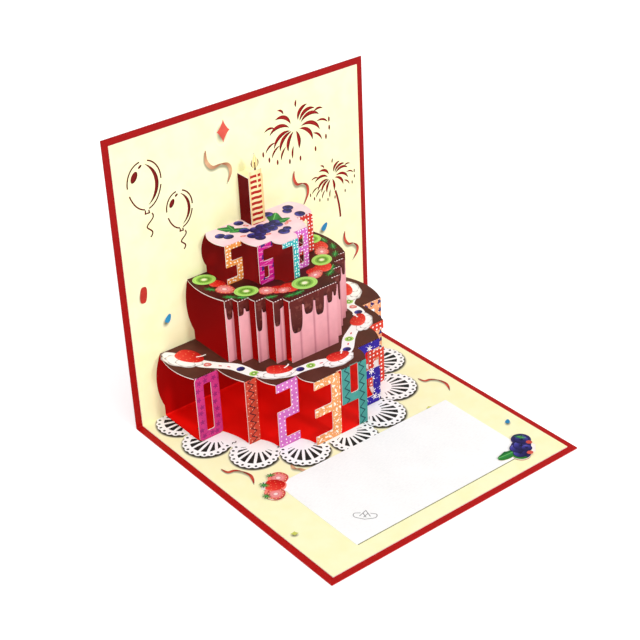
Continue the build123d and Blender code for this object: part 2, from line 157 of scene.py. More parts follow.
def red_cover():
    """The same fibres, with painted light and shade: the standing half is painted a darker red than the lying half;
    where the sheet covers the card it is painted bright red at the floor, darker the higher it stands, and dark red
    behind the slots beside and above the cake.
    """
    made, tree, surface, place = paper_finish("red_card_with_painted_light_and_shade", 0.5)
    long_way = add(tree, "ShaderNodeMapping", {"Vector": place, "Scale": (0.35, 1.0, 1.0)}).outputs[0]
    fibre = add(tree, "ShaderNodeTexNoise", {"Vector": long_way, "Scale": 1 / (0.8 * MM), "Detail": 5.0})
    share = add(tree, "ShaderNodeMapRange", {0: fibre.outputs["Fac"], 1: 0.35, 2: 0.65}).outputs[0]
    apart = add(tree, "ShaderNodeSeparateXYZ", {0: place})
    # Painted shade: the standing half of the cover is given a darker red than the lying half, as less light falls on
    # it.
    shaded_standing_red = tint(tree, share, ink("#A30808"), ink("#990606"))
    lit_lying_red = tint(tree, share, ink("#B80E0A"), ink("#AC0A08"))
    standing = add(tree, "ShaderNodeMapRange", {0: apart.outputs["Z"], 1: 0.0, 2: 6 * MM}).outputs[0]
    rim = tint(tree, standing, lit_lying_red, shaded_standing_red)
    # Painted light and shade on the card under the sheet: bright red on the lying floor, darkening the higher it
    # stands, as the hollow cake shades it.
    rise = add(tree, "ShaderNodeMapRange", {0: apart.outputs["Z"], 1: 0.0, 2: 0.12}).outputs[0]
    lining_painted_light_and_shade = ramp(tree, rise, [(0.0, "#FF1008"), (0.008, "#FF1008"), (0.012, "#C00604"), (0.1, "#B40504"), (0.3, "#A40504"), (0.5, "#8C0503"), (0.75, "#7A0403"), (1.0, "#6A0403")])
    across = maths(tree, "ABSOLUTE", apart.outputs["X"])
    reach = ramp(tree, rise, [(0.0, "#FFFFFF"), (0.574, "#969696"), (0.746, "#373737")], "CONSTANT")
    behind_cake = maths(tree, "LESS_THAN", across, maths(tree, "MULTIPLY", reach, 90 * MM))
    right_half = maths(tree, "GREATER_THAN", apart.outputs["X"], 0.0)
    # Painted shade behind the cut slots: dark red beside and above the cake, darker on the left under the balloons than
    # on the right under the fireworks.
    lining_painted_light_and_shade = tint(tree, behind_cake, tint(tree, right_half, ink("#7A1413"), ink("#A01716")), lining_painted_light_and_shade)
    low = maths(tree, "GREATER_THAN", apart.outputs["Z"], 0.3 * MM)
    side = maths(tree, "LESS_THAN", across, (72.5 - 3.6) * MM)
    deep = maths(tree, "LESS_THAN", apart.outputs["Z"], 146.3 * MM)
    inner = maths(tree, "LESS_THAN", apart.outputs["Y"], 74.7 * MM)
    near = maths(tree, "GREATER_THAN", apart.outputs["Y"], -71.3 * MM)
    inside = maths(tree, "MULTIPLY", maths(tree, "MULTIPLY", maths(tree, "MULTIPLY", low, side), maths(tree, "MULTIPLY", deep, inner)), near)
    tree.links.new(mottled(tree, tint(tree, inside, rim, lining_painted_light_and_shade), place, 0.05, 20.0), surface.inputs["Base Color"])
    return made


white_paper = card_stock("uncoated_white_paper", "#FBF1EC", "#F4E6E0", 0.7, 0.6)
bright_card = card_stock("smooth_white_card", "#FEFEFE", "#F8F8F9", 0.5, 0.6)
for node, finish in (("cover", red_cover()), ("popup_sheet", white_paper), ("message_card", bright_card)):
    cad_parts[node].data.materials.clear()
    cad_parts[node].data.materials.append(finish)
print("card stock on", list(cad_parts))

# %% [markdown]
# ## Where things are
# The card is measured as its maker would: x across, "out" in front of the standing page, and
# "up" above the lying page. The strips of each tier are laid out from their relative widths.

# %% Page measures
cover_low, cover_high = (np.array(corner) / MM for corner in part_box("cover"))
sheet_low, sheet_high = (np.array(corner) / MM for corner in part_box("popup_sheet"))
cover_card = sheet_low[2]
wall_y = sheet_high[1] - 0.4
floor_z = sheet_low[2] + 0.4
page_half = sheet_high[0]
tier_tops = (35.0, 68.0, 88.2, 112.6)


def strip_edges(half, shares):
    """Left and right of each strip: running sums of the shares, scaled to span 2 * half."""
    edges = np.concatenate([[0], np.cumsum(shares)]) * 2 * half / sum(shares) - half
    return list(zip(edges[0::2], edges[1::2]))


row_1 = strip_edges(page_half - 13.15, [13.2, 3, 6.5, 2.5, 12.2, 2.2, 15, 1.1, 14.8, 2.8, 13.6, 2.6, 10, 1, 12.1])
row_2 = strip_edges(page_half - 33.85, [4.4, 0, 6, 0, 5.8, 0, 5.6, 0, 27.6, 0, 5.6, 0, 5.8, 0, 6, 0, 4.4])
row_3 = strip_edges(page_half - 43.85, [9.2, 2, 8.4, 1.8, 9, 1.8, 8.4, 2, 9.2])
outs_1 = [29.8, 47.0, 58.9, 68.6, 68.6, 58.9, 47.0, 29.8]
outs_2 = [28.6, 33.0, 38.1, 44.3, 48.8, 44.3, 38.1, 33.0, 28.6]
outs_3 = [17.4, 27.8, 33.5, 27.8, 17.4]
candle_half = 3.9
candle_out = 9.1
print("strips", len(row_1), len(row_2), len(row_3), "wall", wall_y, "floor", floor_z)

# %% [markdown]
# ## Ink on the folded paper
# An inked area has exactly the outline of the paper under it, so it is cut from the sheet's
# own surface: the triangles that face the right way at the right place are copied and moved
# out along their normals by a few hundredths of a millimetre.

# %% Ink film cut from the sheet
mesh = sheet.data
mesh.calc_loop_triangles()
corner_index = np.empty(len(mesh.loop_triangles) * 3, int)
mesh.loop_triangles.foreach_get("vertices", corner_index)
place_all = np.empty(len(mesh.vertices) * 3)
mesh.vertices.foreach_get("co", place_all)
corners = place_all.reshape(-1, 3)[corner_index].reshape(-1, 3, 3) / MM
facing = np.cross(corners[:, 1] - corners[:, 0], corners[:, 2] - corners[:, 0])
facing /= np.maximum(np.linalg.norm(facing, axis=1, keepdims=True), 1e-12)
centre = corners.mean(axis=1)
centre_out = wall_y - centre[:, 1]
centre_up = centre[:, 2] - floor_z


def build(name, points, faces, uv=None):
    """A mesh from points in millimetres in the card's frame, with an optional uv per point."""
    data = bpy.data.meshes.new(name)
    data.from_pydata((points * MM).tolist(), [], [list(map(int, f)) for f in faces])
    if uv is not None:
        layer = data.uv_layers.new(name="UVMap")
        loop_vertex = np.empty(len(data.loops), int)
        data.loops.foreach_get("vertex_index", loop_vertex)
        layer.data.foreach_set("uv", uv[loop_vertex].ravel())
    data.update()
    piece = bpy.data.objects.new(name, data)
    bpy.context.collection.objects.link(piece)
    return piece


def inked(name, chosen, material, lift=0.03, corner=(0.0, 0.0)):
    """The chosen triangles, moved out by lift; uv is (x, up) in millimetres from a corner."""
    picked = corners[chosen] + lift * facing[chosen][:, None, :]
    points = picked.reshape(-1, 3)
    uv = np.column_stack([points[:, 0] - corner[0], points[:, 2] - floor_z - corner[1]])
    piece = build(name, points, np.arange(len(points)).reshape(-1, 3), uv)
    return clothe(piece, material)


def printed_plain(name, colour, roughness, share=0.06, size_mm=6.0, deep=None):
    """One printed tone, gloss-varnished, over the paper's tooth; deep is a second, cloudy tone."""
    made, tree, surface, place = paper_finish(name, roughness)
    tone = ink(colour)
    if deep:
        cloud = add(tree, "ShaderNodeTexNoise", {"Vector": place, "Scale": 1 / (9 * MM), "Detail": 5.0})
        spread = add(tree, "ShaderNodeMapRange", {0: cloud.outputs["Fac"], 1: 0.35, 2: 0.65}).outputs[0]
        tone = tint(tree, spread, ink(colour), ink(deep))
    tree.links.new(mottled(tree, tone, place, share, size_mm), surface.inputs["Base Color"])
    return made


cream_print = printed_plain("cream_page_print", "#FCF8CC", 0.55, 0.02, 30.0, "#FAF5C2")
milk_chocolate = printed_plain("milk_chocolate_print", "#5C3026", 0.5, 0.08, 5.0, "#52291F")
dark_chocolate = printed_plain("dark_chocolate_print", "#561614", 0.45, 0.1, 4.0, "#3E0F0E")
pink_icing = printed_plain("pink_icing_print", "#F8D9E2", 0.5, 0.04, 6.0, "#F3C9D6")

front = facing[:, 1] < -0.3
upward = facing[:, 2] > 0.7
on_wall = (np.abs(centre_out) < 0.2) & (facing[:, 1] < -0.6)
on_floor = (np.abs(centre_up) < 0.2) & upward & (centre_out > 0)
in_spine = (centre_out < 0.2) & (centre_out > -0.01) & (centre_up < 0.2) & (centre_up > -0.01)
inked("page_print", on_wall | on_floor | in_spine & ((facing[:, 1] < -0.1) | (facing[:, 2] > 0.1)), cream_print)
for i, (top, finish) in enumerate(zip(tier_tops, (milk_chocolate, dark_chocolate, pink_icing))):
    inked(f"tier_{i + 1}_top_print", upward & (centre_up > top - 0.3) & (centre_up < top + 0.02), finish)
# Painted shade: the walls of the cut slots get a dark brown film so that the slots look shaded; the same dark ink also
# draws the doily's squiggles.
dark_ink_and_slot_shade = printed_plain("dark_ink_and_painted_slot_shade", "#3A1410", 0.8, 0.1, 2.0, "#2A0D0A")
slot_wall = (centre_out > -0.39) & (centre_out < -0.01) & (np.abs(facing[:, 1]) < 0.5) & (np.abs(centre[:, 0]) < page_half - 1)
clear_of_cake = (np.abs(centre[:, 0]) > 28) & (centre_up > 68.5) | (np.abs(centre[:, 0]) > 6) & (centre_up > 92)
inked("slot_edges", slot_wall & clear_of_cake & (centre_up < sheet_high[2] - floor_z - 1), dark_ink_and_slot_shade, 0.01)
print("pages and tops inked")

# %% [markdown]
# ## Patterned strips
# Every upright strip is printed with its own ground and motif: dots, stars, zigzags, flecks or
# hearts. A motif is drawn by formula in the strip's own millimetres: the strip is divided into
# square cells, and a cell's mark is every point nearer to its middle than a radius that may
# swell and shrink with the angle, which makes a star, a burst or a petal.

# %% Motif helpers
def strip_place(tree):
    return add(tree, "ShaderNodeUVMap", uv_map="UVMap").outputs["UV"]


def motif(tree, place, pitch, size, points=0, spike=0.0, wobble=0.5, stretch=1.0, spin=1.0):
    """1 inside the marks: |p - middle| < size * (1 + spike * cos(points * angle)), cell by cell."""
    cells = add(tree, "ShaderNodeVectorMath", {0: place, 1: (1 / pitch, 1 / pitch, 1)}, operation="MULTIPLY").outputs[0]
    number = add(tree, "ShaderNodeVectorMath", {0: cells}, operation="FLOOR").outputs[0]
    chance = add(tree, "ShaderNodeTexWhiteNoise", {"Vector": number}, noise_dimensions="2D")
    shift = add(tree, "ShaderNodeVectorMath", {0: chance.outputs["Color"], 1: (0.5, 0.5, 0.5)}, operation="SUBTRACT")
    drift = add(tree, "ShaderNodeVectorMath", {0: shift.outputs[0], "Scale": wobble}, operation="SCALE").outputs[0]
    within = add(tree, "ShaderNodeVectorMath", {0: cells}, operation="FRACTION").outputs[0]
    middle = add(tree, "ShaderNodeVectorMath", {0: within, 1: (0.5, 0.5, 0)}, operation="SUBTRACT").outputs[0]
    local = add(tree, "ShaderNodeVectorMath", {0: middle, 1: drift}, operation="SUBTRACT").outputs[0]
    turn = maths(tree, "MULTIPLY", chance.outputs["Value"], 6.28 * spin)
    turned = add(tree, "ShaderNodeVectorRotate", {"Vector": local, "Angle": turn}, rotation_type="Z_AXIS").outputs[0]
    slim = add(tree, "ShaderNodeVectorMath", {0: turned, 1: (1, stretch, 0)}, operation="MULTIPLY").outputs[0]
    apart = add(tree, "ShaderNodeSeparateXYZ", {0: slim})
    radius = add(tree, "ShaderNodeVectorMath", {0: slim}, operation="LENGTH").outputs["Value"]
    angle = maths(tree, "ARCTAN2", apart.outputs["Y"], apart.outputs["X"])
    wave = maths(tree, "COSINE", maths(tree, "MULTIPLY", angle, float(points)))
    limit = maths(tree, "MULTIPLY", maths(tree, "MULTIPLY_ADD", wave, spike, 1.0), size / pitch)
    return maths(tree, "LESS_THAN", radius, limit)


def zigzag(tree, place, middle, reach, pitch, line):
    """1 on a line that swings reach to either side of x = middle, once every 2 * pitch up."""
    apart = add(tree, "ShaderNodeSeparateXYZ", {0: place})
    swing = maths(tree, "PINGPONG", apart.outputs["Y"], pitch)
    path = maths(tree, "MULTIPLY_ADD", swing, 2 * reach / pitch, middle - reach)
    off = maths(tree, "ABSOLUTE", maths(tree, "SUBTRACT", apart.outputs["X"], path))
    return maths(tree, "LESS_THAN", off, line)


def strip_print(name, ground, deep, layers):
    """A printed ground with motifs over it, each a (mask maker, colour) pair."""
    made, tree, surface, place = paper_finish(name, 0.42)
    across = strip_place(tree)
    cloud = add(tree, "ShaderNodeTexNoise", {"Vector": place, "Scale": 1 / (5 * MM), "Detail": 4.0})
    spread = add(tree, "ShaderNodeMapRange", {0: cloud.outputs["Fac"], 1: 0.35, 2: 0.65}).outputs[0]
    tone = tint(tree, spread, ink(ground), ink(deep))
    for maker, colour in layers:
        tone = tint(tree, maker(tree, across), tone, ink(colour))
    tree.links.new(mottled(tree, tone, place, 0.05), surface.inputs["Base Color"])
    return made


def dots(pitch, size, wobble=0.3):
    return lambda tree, place: motif(tree, place, pitch, size, wobble=wobble)


def stars(pitch, size, points=5, spike=0.38, wobble=0.4):
    return lambda tree, place: motif(tree, place, pitch, size, points, spike, wobble)


def flecks(pitch, size, stretch=2.4, wobble=0.5):
    return lambda tree, place: motif(tree, place, pitch, size, 0, 0.0, wobble, stretch)


def hearts(pitch, size):
    return lambda tree, place: motif(tree, place, pitch, size, 3, 0.3, 0.2, 1.0, 0.08)


def zig(middle, reach, pitch, line=0.42):
    return lambda tree, place: zigzag(tree, place, middle, reach, pitch, line)


white = "#FFF8F4"
bottom_row = [
    ("magenta_star_print", "#D03A80", "#C03078", [(stars(4.2, 1.05), "#96246A"), (dots(2.9, 0.3, 0.6), "#A02B6A")]),
    ("brick_zigzag_print", "#CF4A36", "#BE3F2E", [(dots(2.4, 0.28, 0.5), "#F4B49A"), (zig(3.2, 1.5, 2.1), "#3B1A22")]),
    ("orchid_dot_print", "#D97CC8", "#CC6ABC", [(dots(2.5, 0.38, 0.25), white)]),
    ("peach_leaf_print", "#EFA468", "#E6985C", [(flecks(3.4, 1.1, 2.2), "#FFF0DC"), (dots(2.0, 0.25, 0.6), white)]),
    ("teal_zigzag_print", "#4A9A92", "#418D86", [(zig(3.0, 1.4, 2.4), "#16404A"), (zig(11.8, 1.4, 2.4), "#16404A")]),
    ("indigo_burst_print", "#33209C", "#2A1A86", [(stars(5.6, 0.95, 6, 0.85, 0.5), white), (dots(3.1, 0.22, 0.7), "#C9C2F2")]),
    ("vermilion_dot_print", "#DC4230", "#CE3728", [(dots(2.3, 0.5, 0.15), white)]),
    ("peach_heart_print", "#F2AC7E", "#EAA072", [(hearts(4.4, 1.1), "#3B2168"), (dots(2.4, 0.25, 0.6), white)]),
]
top_row = [
    ("orange_fleck_print", "#EE9A4C", "#E58E40", [(flecks(1.9, 0.62, 1.8), "#FFF3E2")]),
    ("magenta_chevron_print", "#D4208F", "#C41882", [(zig(4.1, 3.4, 1.2, 0.3), "#F9C6E6"), (hearts(5.6, 1.1), "#3D1F6E")]),
    ("teal_fleck_print", "#3CB4B6", "#30A6AA", [(flecks(1.5, 0.5, 1.7), "#EFFFFC")]),
    ("orchid_fleck_print", "#DA70C8", "#CE62BC", [(flecks(1.7, 0.45, 1.5), "#FFF2FC")]),
    ("red_dot_print", "#D63A30", "#C83028", [(dots(1.9, 0.42, 0.3), white)]),
]


def ink_row(row, outs, level, top, prints, prefix):
    for i, ((left, right), out) in enumerate(zip(row, outs)):
        inside = (centre[:, 0] > left - 0.01) & (centre[:, 0] < right + 0.01)
        near = (np.abs(centre_out - out) < 0.62) & (centre_up > level) & (centre_up < top - 0.05)
        finish = strip_print(*prints[i]) if isinstance(prints, list) else prints
        inked(f"{prefix}_{i}", front & inside & near, finish, 0.03, (left, level))


ink_row(row_1, outs_1, 0, tier_tops[0], bottom_row, "lower_numeral_print")
ink_row(row_3, outs_3, tier_tops[1], tier_tops[2], top_row, "upper_numeral_print")
print("numerals inked", len(bottom_row) + len(top_row))

# %% [markdown]
# ## The middle tier's icing
# The middle tier has no numerals. Its strips are printed as pink icing with faint upright
# creases, and dark chocolate runs down from the rim. The icing is an ink film like the others,
# shaded by a slow wave across.

# %% Icing on the middle tier
def icing_front():
    """Pink, darker towards each crease: a wave of 8 mm across, sharpened. The fold above it is
    chocolate, nicked every 1.5 mm by the perforation that it is folded along."""
    made, tree, surface, place = paper_finish("strawberry_icing_print", 0.5)
    apart = add(tree, "ShaderNodeSeparateXYZ", {0: place})
    wave = maths(tree, "COSINE", maths(tree, "MULTIPLY", apart.outputs["X"], 6.2832 / (8 * MM)))
    crease = maths(tree, "POWER", maths(tree, "MULTIPLY_ADD", wave, 0.5, 0.5), 18.0)
    low = add(tree, "ShaderNodeMapRange", {0: apart.outputs["Z"], 1: (floor_z + 35) * MM, 2: (floor_z + 64) * MM})
    tone = tint(tree, low.outputs[0], ink("#DE949C"), ink("#EEACB4"))
    tone = tint(tree, maths(tree, "MULTIPLY", crease, 0.55), tone, ink("#A05266"))
    beside_fold = maths(tree, "GREATER_THAN", apart.outputs["Z"], (floor_z + tier_tops[1] - 0.42) * MM)
    nick = maths(tree, "LESS_THAN", maths(tree, "PINGPONG", apart.outputs["X"], 0.75 * MM), 0.4 * MM)
    tone = tint(tree, beside_fold, tone, tint(tree, nick, ink("#561614"), ink("#F3E2DC")))
    tree.links.new(mottled(tree, tone, place, 0.08, 4.0), surface.inputs["Base Color"])
    return made


ink_row(row_2, outs_2, tier_tops[0], tier_tops[1], icing_front(), "icing_print")
print("icing inked", len(row_2))

# %% [markdown]
# ## Shapes drawn on the paper
# The pictures are flat shapes, each a surface of two parameters. A patch runs from its middle
# to an outline, and all the way round. A band follows a path, from one edge to the other. Both
# are laid on a level or an upright sheet, a few hundredths of a millimetre above its ink.

# %% Flat surfaces
def level_at(up, lift):
    """Lays (x, out) on a level sheet, and a shape drawn over another a little higher."""
    return lambda flat, over=0.0: np.column_stack(
        [flat[:, 0], wall_y - flat[:, 1], np.full(len(flat), floor_z + up + lift + over)])


def upright_at(out, lift):
    """Lays (x, up) on an upright sheet, and a shape drawn over another a little nearer."""
    return lambda flat, over=0.0: np.column_stack(
        [flat[:, 0], np.full(len(flat), wall_y - out - lift - over), floor_z + flat[:, 1]])


def patch(middle, half, turn=0.0, outline=None, rings=5, steps=64):
    """share from 0 to 1 and angle all the way round: middle + turned(share * outline(angle) * half)."""
    share = np.repeat(np.linspace(0, 1, rings + 1)[1:], steps)
    angle = np.tile(np.arange(steps) / steps * 2 * np.pi, rings)
    reach = share * (outline(angle) if outline else 1.0)
    local = np.vstack([[0, 0], np.column_stack([reach * np.cos(angle), reach * np.sin(angle)])])
    t = np.radians(turn)
    grown = local * np.array(half)
    flat = np.column_stack([grown[:, 0] * np.cos(t) - grown[:, 1] * np.sin(t),
                            grown[:, 0] * np.sin(t) + grown[:, 1] * np.cos(t)]) + np.array(middle)
    ring = 1 + np.arange(rings * steps).reshape(rings, steps)
    after = np.roll(ring, -1, axis=1)
    faces = [(0, a, b) for a, b in zip(ring[0], after[0])]
    faces += [tuple(f) for f in np.stack([ring[:-1], ring[1:], after[1:], after[:-1]], axis=-1).reshape(-1, 4)]
    return flat, 0.5 + 0.5 * local, faces


def smooth_path(points, steps=60):
    """A curve through the points: cubic pieces whose slope at a point is half the step across it."""
    p = np.array(points, float)
    p = np.vstack([2 * p[0] - p[1], p, 2 * p[-1] - p[-2]])
    t = np.linspace(0, len(p) - 3 - 1e-9, steps)
    i = t.astype(int)
    f = (t - i)[:, None]
    a, b, c, d = (p[i + k] for k in range(4))
    return 0.5 * (2 * b + (c - a) * f + (2 * a - 5 * b + 4 * c - d) * f ** 2 + (3 * b - a - 3 * c + d) * f ** 3)


def band(points, width, steps=60, smooth=True):
    """Along a path and across it: path + side * width / 2 * normal; width may be a function of 0..1."""
    path = smooth_path(points, steps) if smooth else np.array(points, float)
    way = np.gradient(path, axis=0)
    way /= np.linalg.norm(way, axis=1, keepdims=True)
    normal = np.column_stack([-way[:, 1], way[:, 0]])
    along = np.linspace(0, 1, len(path))
    half = (width(along) if callable(width) else np.full(len(path), float(width)))[:, None] / 2
    side = np.linspace(-1, 1, 5)
    flat = (path[:, None, :] + side[None, :, None] * (half * normal)[:, None, :]).reshape(-1, 2)
    uv = np.stack(np.broadcast_arrays(along[:, None], 0.5 + 0.5 * side[None, :]), axis=-1).reshape(-1, 2)
    n = np.arange(len(path) * 5).reshape(-1, 5)
    faces = np.stack([n[:-1, :-1], n[1:, :-1], n[1:, 1:], n[:-1, 1:]], axis=-1).reshape(-1, 4)
    return flat, uv, [tuple(f) for f in faces]


def draw(name, shapes, lay, material):
    """All the shapes as one piece, laid on their sheet and turned to face the reader."""
    points, uvs, faces, count = [], [], [], 0
    for i, (flat, uv, ring) in enumerate(shapes):
        points.append(lay(flat, 0.006 * i))
        uvs.append(uv)
        faces += [tuple(int(k) + count for k in f) for f in ring]
        count += len(flat)
    points = np.vstack(points)
    a, b, c = (points[faces[0][k]] for k in range(3))
    normal = np.cross(b - a, c - a)
    if normal[2] - normal[1] < 0:
        faces = [f[::-1] for f in faces]
    return clothe(build(name, points, faces, np.vstack(uvs)), material)


print("flat surfaces ready")

# %% [markdown]
# ## Chocolate drips
# The drips are one curtain per strip: across it, and down from the rim to a length that is the
# longest of all the drips there. A drip's length is L * (1 - |x - middle| ^ n / w ^ n) ^ (1 / n),
# which has straight sides and a round end.

# %% Drips
drip_list = [(-33.2, 1.7, 10), (-29.8, 1.8, 7.5), (-26.0, 1.4, 6.5), (-23.4, 1.7, 16), (-20.2, 1.4, 7.0),
             (-17.6, 1.8, 13), (-9.9, 3.4, 17.5), (-2.8, 2.7, 10), (3.6, 2.6, 13), (9.6, 1.6, 9.0), (12.6, 0.9, 6.5),
             (16.0, 1.5, 7.5), (19.2, 1.2, 13.0), (23.4, 1.7, 8.0), (26.9, 1.2, 13.0), (31.0, 1.6, 8.5), (34.0, 1.1, 12.0)]


def drip_length(x):
    """The longest drip at x, never less than the rim's own band."""
    rim = 3.6 + 0.5 * np.sin(x * 1.1)
    for middle, width, length in drip_list:
        inside = np.clip(1 - np.abs((x - middle) / width) ** 4, 0, 1)
        neck = 1.6 * np.exp(-((x - middle) / (width * 1.5)) ** 2)
        rim = np.maximum(rim + 0.25 * neck, length * inside ** 0.25 * (np.abs(x - middle) < width))
    return rim


def curtain(left, right, top, steps):
    """Across from left to right and down from the top: (x, top - share * length(x))."""
    x = np.linspace(left, right, steps)
    share = np.linspace(0, 1, 4)
    up = top - share[None, :] * drip_length(x)[:, None]
    flat = np.stack(np.broadcast_arrays(x[:, None], up), axis=-1).reshape(-1, 2)
    uv = np.stack(np.broadcast_arrays(x[:, None] / 10, share[None, :]), axis=-1).reshape(-1, 2)
    n = np.arange(steps * 4).reshape(-1, 4)
    faces = np.stack([n[:-1, :-1], n[1:, :-1], n[1:, 1:], n[:-1, 1:]], axis=-1).reshape(-1, 4)
    return flat, uv, [tuple(f) for f in faces]


def drip_print():
    """Chocolate that thins towards its end: darker at the foot, with a faint lengthways shine."""
    made, tree, surface, place = paper_finish("running_chocolate_print", 0.35)
    apart = add(tree, "ShaderNodeSeparateXYZ", {0: add(tree, "ShaderNodeUVMap", uv_map="UVMap").outputs["UV"]})
    tone = ramp(tree, apart.outputs["Y"], [(0.0, "#5E1B18"), (0.5, "#58201C"), (0.85, "#4A1613"), (0.95, "#2E0B0A"), (1.0, "#240807")])
    shine = add(tree, "ShaderNodeTexNoise", {"Vector": place, "Scale": 1 / (2.2 * MM), "Detail": 1.0})
    gleam = add(tree, "ShaderNodeMapRange", {0: shine.outputs["Fac"], 1: 0.56, 2: 0.7, 3: 0.0, 4: 0.45}).outputs[0]
    tree.links.new(tint(tree, gleam, tone, ink("#8A4A40")), surface.inputs["Base Color"])
    return made


chocolate_run = drip_print()
for i, ((left, right), out) in enumerate(zip(row_2, outs_2)):
    draw(f"drips_{i}", [curtain(left, right, tier_tops[1] - 0.45, max(24, int((right - left) * 9)))],
         upright_at(out, 0.07), chocolate_run)
print("drips", len(drip_list))

# %% [markdown]
# ## Fruit
# The fruit is printed slice by slice. A kiwi slice is a disc: a pale heart, a ring of seeds and
# bright flesh with fine rays. A strawberry slice is a blunt cone, pale in the middle and red
# at the skin. A blueberry is a dark ball with a small crown. Each reads its own middle-to-rim
# distance and angle from its uv.

# %% Fruit materials
def round_place(tree):
    """(distance from the middle, angle) of a patch, from its uv."""
    spot = add(tree, "ShaderNodeUVMap", uv_map="UVMap").outputs["UV"]
    middle = add(tree, "ShaderNodeVectorMath", {0: spot, 1: (0.5, 0.5, 0)}, operation="SUBTRACT").outputs[0]
    wide = add(tree, "ShaderNodeVectorMath", {0: middle, "Scale": 2.0}, operation="SCALE").outputs[0]
    apart = add(tree, "ShaderNodeSeparateXYZ", {0: wide})
    radius = add(tree, "ShaderNodeVectorMath", {0: wide}, operation="LENGTH").outputs["Value"]
    return radius, maths(tree, "ARCTAN2", apart.outputs["Y"], apart.outputs["X"]), apart, wide


def fruit_print(name, paint):
    made, tree, surface, place = paper_finish(name, 0.4)
    tree.links.new(mottled(tree, paint(tree), place, 0.05, 2.0), surface.inputs["Base Color"])
    return made


def ring_marks(tree, radius, angle, count, where, deep, share):
    """count marks round a ring: cos(count * angle) above a level, near a radius."""
    turn = maths(tree, "COSINE", maths(tree, "MULTIPLY", angle, float(count)))
    near = maths(tree, "LESS_THAN", maths(tree, "ABSOLUTE", maths(tree, "SUBTRACT", radius, where)), deep)
    return maths(tree, "MULTIPLY", maths(tree, "GREATER_THAN", turn, share), near)


def kiwi_paint(tree):
    radius, angle, _, _ = round_place(tree)
    tone = ramp(tree, radius, [(0.0, "#FBF8DC"), (0.18, "#F2F3C8"), (0.26, "#A2CA54"), (0.36, "#5E9A28"), (0.52, "#6CAE30"),
                               (0.66, "#84C442"), (0.72, "#B4E472"), (0.88, "#A2DA5A"), (0.95, "#C4EC8C"), (1.0, "#74A236")])
    rays = maths(tree, "MULTIPLY", ring_marks(tree, radius, angle, 34, 0.55, 0.3, 0.5), 0.35)
    tone = tint(tree, rays, tone, ink("#D3EC8E"))
    return tint(tree, ring_marks(tree, radius, angle, 20, 0.44, 0.07, 0.45), tone, ink("#2E3A14"))


def berry_slice_paint(tree):
    radius, angle, _, wide = round_place(tree)
    tone = ramp(tree, radius, [(0.0, "#FBE3E0"), (0.2, "#F8CFCB"), (0.27, "#DC6E72"), (0.36, "#F09C9A"), (0.68, "#E87674"),
                               (0.86, "#CE3C3C"), (0.94, "#C83A3A"), (1.0, "#F2BDB8")])
    seeds = ring_marks(tree, radius, angle, 13, 0.78, 0.05, 0.7)
    return tint(tree, seeds, tone, ink("#F8D98A"))


def whole_berry_paint(tree):
    radius, angle, apart, wide = round_place(tree)
    side = maths(tree, "MULTIPLY_ADD", apart.outputs["Y"], 0.35, maths(tree, "MULTIPLY_ADD", apart.outputs["X"], -0.25, 0.45))
    tone = ramp(tree, side, [(0.0, "#B01512"), (0.35, "#D8241C"), (0.75, "#EC4034"), (1.0, "#FA8A7A")])
    seeds = motif(tree, wide, 0.42, 0.05, wobble=0.3)
    return tint(tree, maths(tree, "MULTIPLY", seeds, 0.5), tone, ink("#F9A070"))


def blueberry_paint(tree):
    radius, angle, apart, _ = round_place(tree)
    side = maths(tree, "MULTIPLY_ADD", apart.outputs["Y"], -0.4, maths(tree, "MULTIPLY_ADD", apart.outputs["X"], -0.2, 0.45))
    tone = ramp(tree, side, [(0.0, "#140F3C"), (0.4, "#292468"), (0.72, "#423E9C"), (1.0, "#8D8BD8")])
    crown = maths(tree, "LESS_THAN", radius, maths(tree, "MULTIPLY_ADD", maths(
        tree, "COSINE", maths(tree, "MULTIPLY", angle, 5.0)), 0.1, 0.26))
    tone = tint(tree, crown, tone, ink("#15123A"))
    return tint(tree, maths(tree, "GREATER_THAN", radius, 0.9), tone, ink("#17143F"))


def leaf_paint(tree):
    radius, angle, apart, _ = round_place(tree)
    tone = ramp(tree, maths(tree, "MULTIPLY_ADD", apart.outputs["Y"], 0.5, 0.5), [(0.0, "#125422"), (0.45, "#1F7A34"), (0.55, "#2F9044"), (1.0, "#18682C")])
    vein = maths(tree, "LESS_THAN", maths(tree, "ABSOLUTE", apart.outputs["Y"]), 0.07)
    return tint(tree, vein, tone, ink("#6FBF62"))


def cream_paint(tree):
    radius, angle, apart, _ = round_place(tree)
    tone = ramp(tree, radius, [(0.0, "#FFFFFF"), (0.8, "#FFFEFC"), (0.9, "#F0EBE9"), (0.96, "#CFC6C4"), (1.0, "#A99C9B")])
    return tone


kiwi_print = fruit_print("kiwi_print", kiwi_paint)
slice_print = fruit_print("strawberry_slice_print", berry_slice_paint)
strawberry_print = fruit_print("strawberry_print", whole_berry_paint)
blueberry_print = fruit_print("blueberry_print", blueberry_paint)
leaf_print = fruit_print("leaf_print", leaf_paint)
cream_swirl_print = fruit_print("whipped_cream_print", cream_paint)
white_print = printed_plain("white_ribbon_print", "#FFFDFB", 0.5, 0.03, 4.0)
print("fruit materials ready")

# %% [markdown]
# A strawberry's outline is a blunt heart, r = 1 - 0.25 * |sin(angle / 2)| ^ 3 and so on; a leaf is
# a lens. The rim fruit of the middle tier overlaps like tiles, so each kind is laid a little
# higher than the one before it.

# %% Fruit on the middle tier
def cone(angle):
    """Wide at one end and blunt at the other: r = 0.88 + 0.16 cos(a) - 0.1 cos(2a)."""
    return 0.92 + 0.1 * np.cos(angle) - 0.05 * np.cos(2 * angle) + 0.05 * np.cos(3 * angle)


def lens(angle):
    """Two arcs that meet in points at 0 and 180 degrees: r = 1 / (|cos a| + 2.6 |sin a|)."""
    return 1 / (np.abs(np.cos(angle)) + 1.0 * np.abs(np.sin(angle)) ** 1.6)


def fringe(angle):
    """A strawberry's leaves: nine points."""
    return 0.34 + 0.66 * np.abs(np.cos(4.5 * angle)) ** 2.2


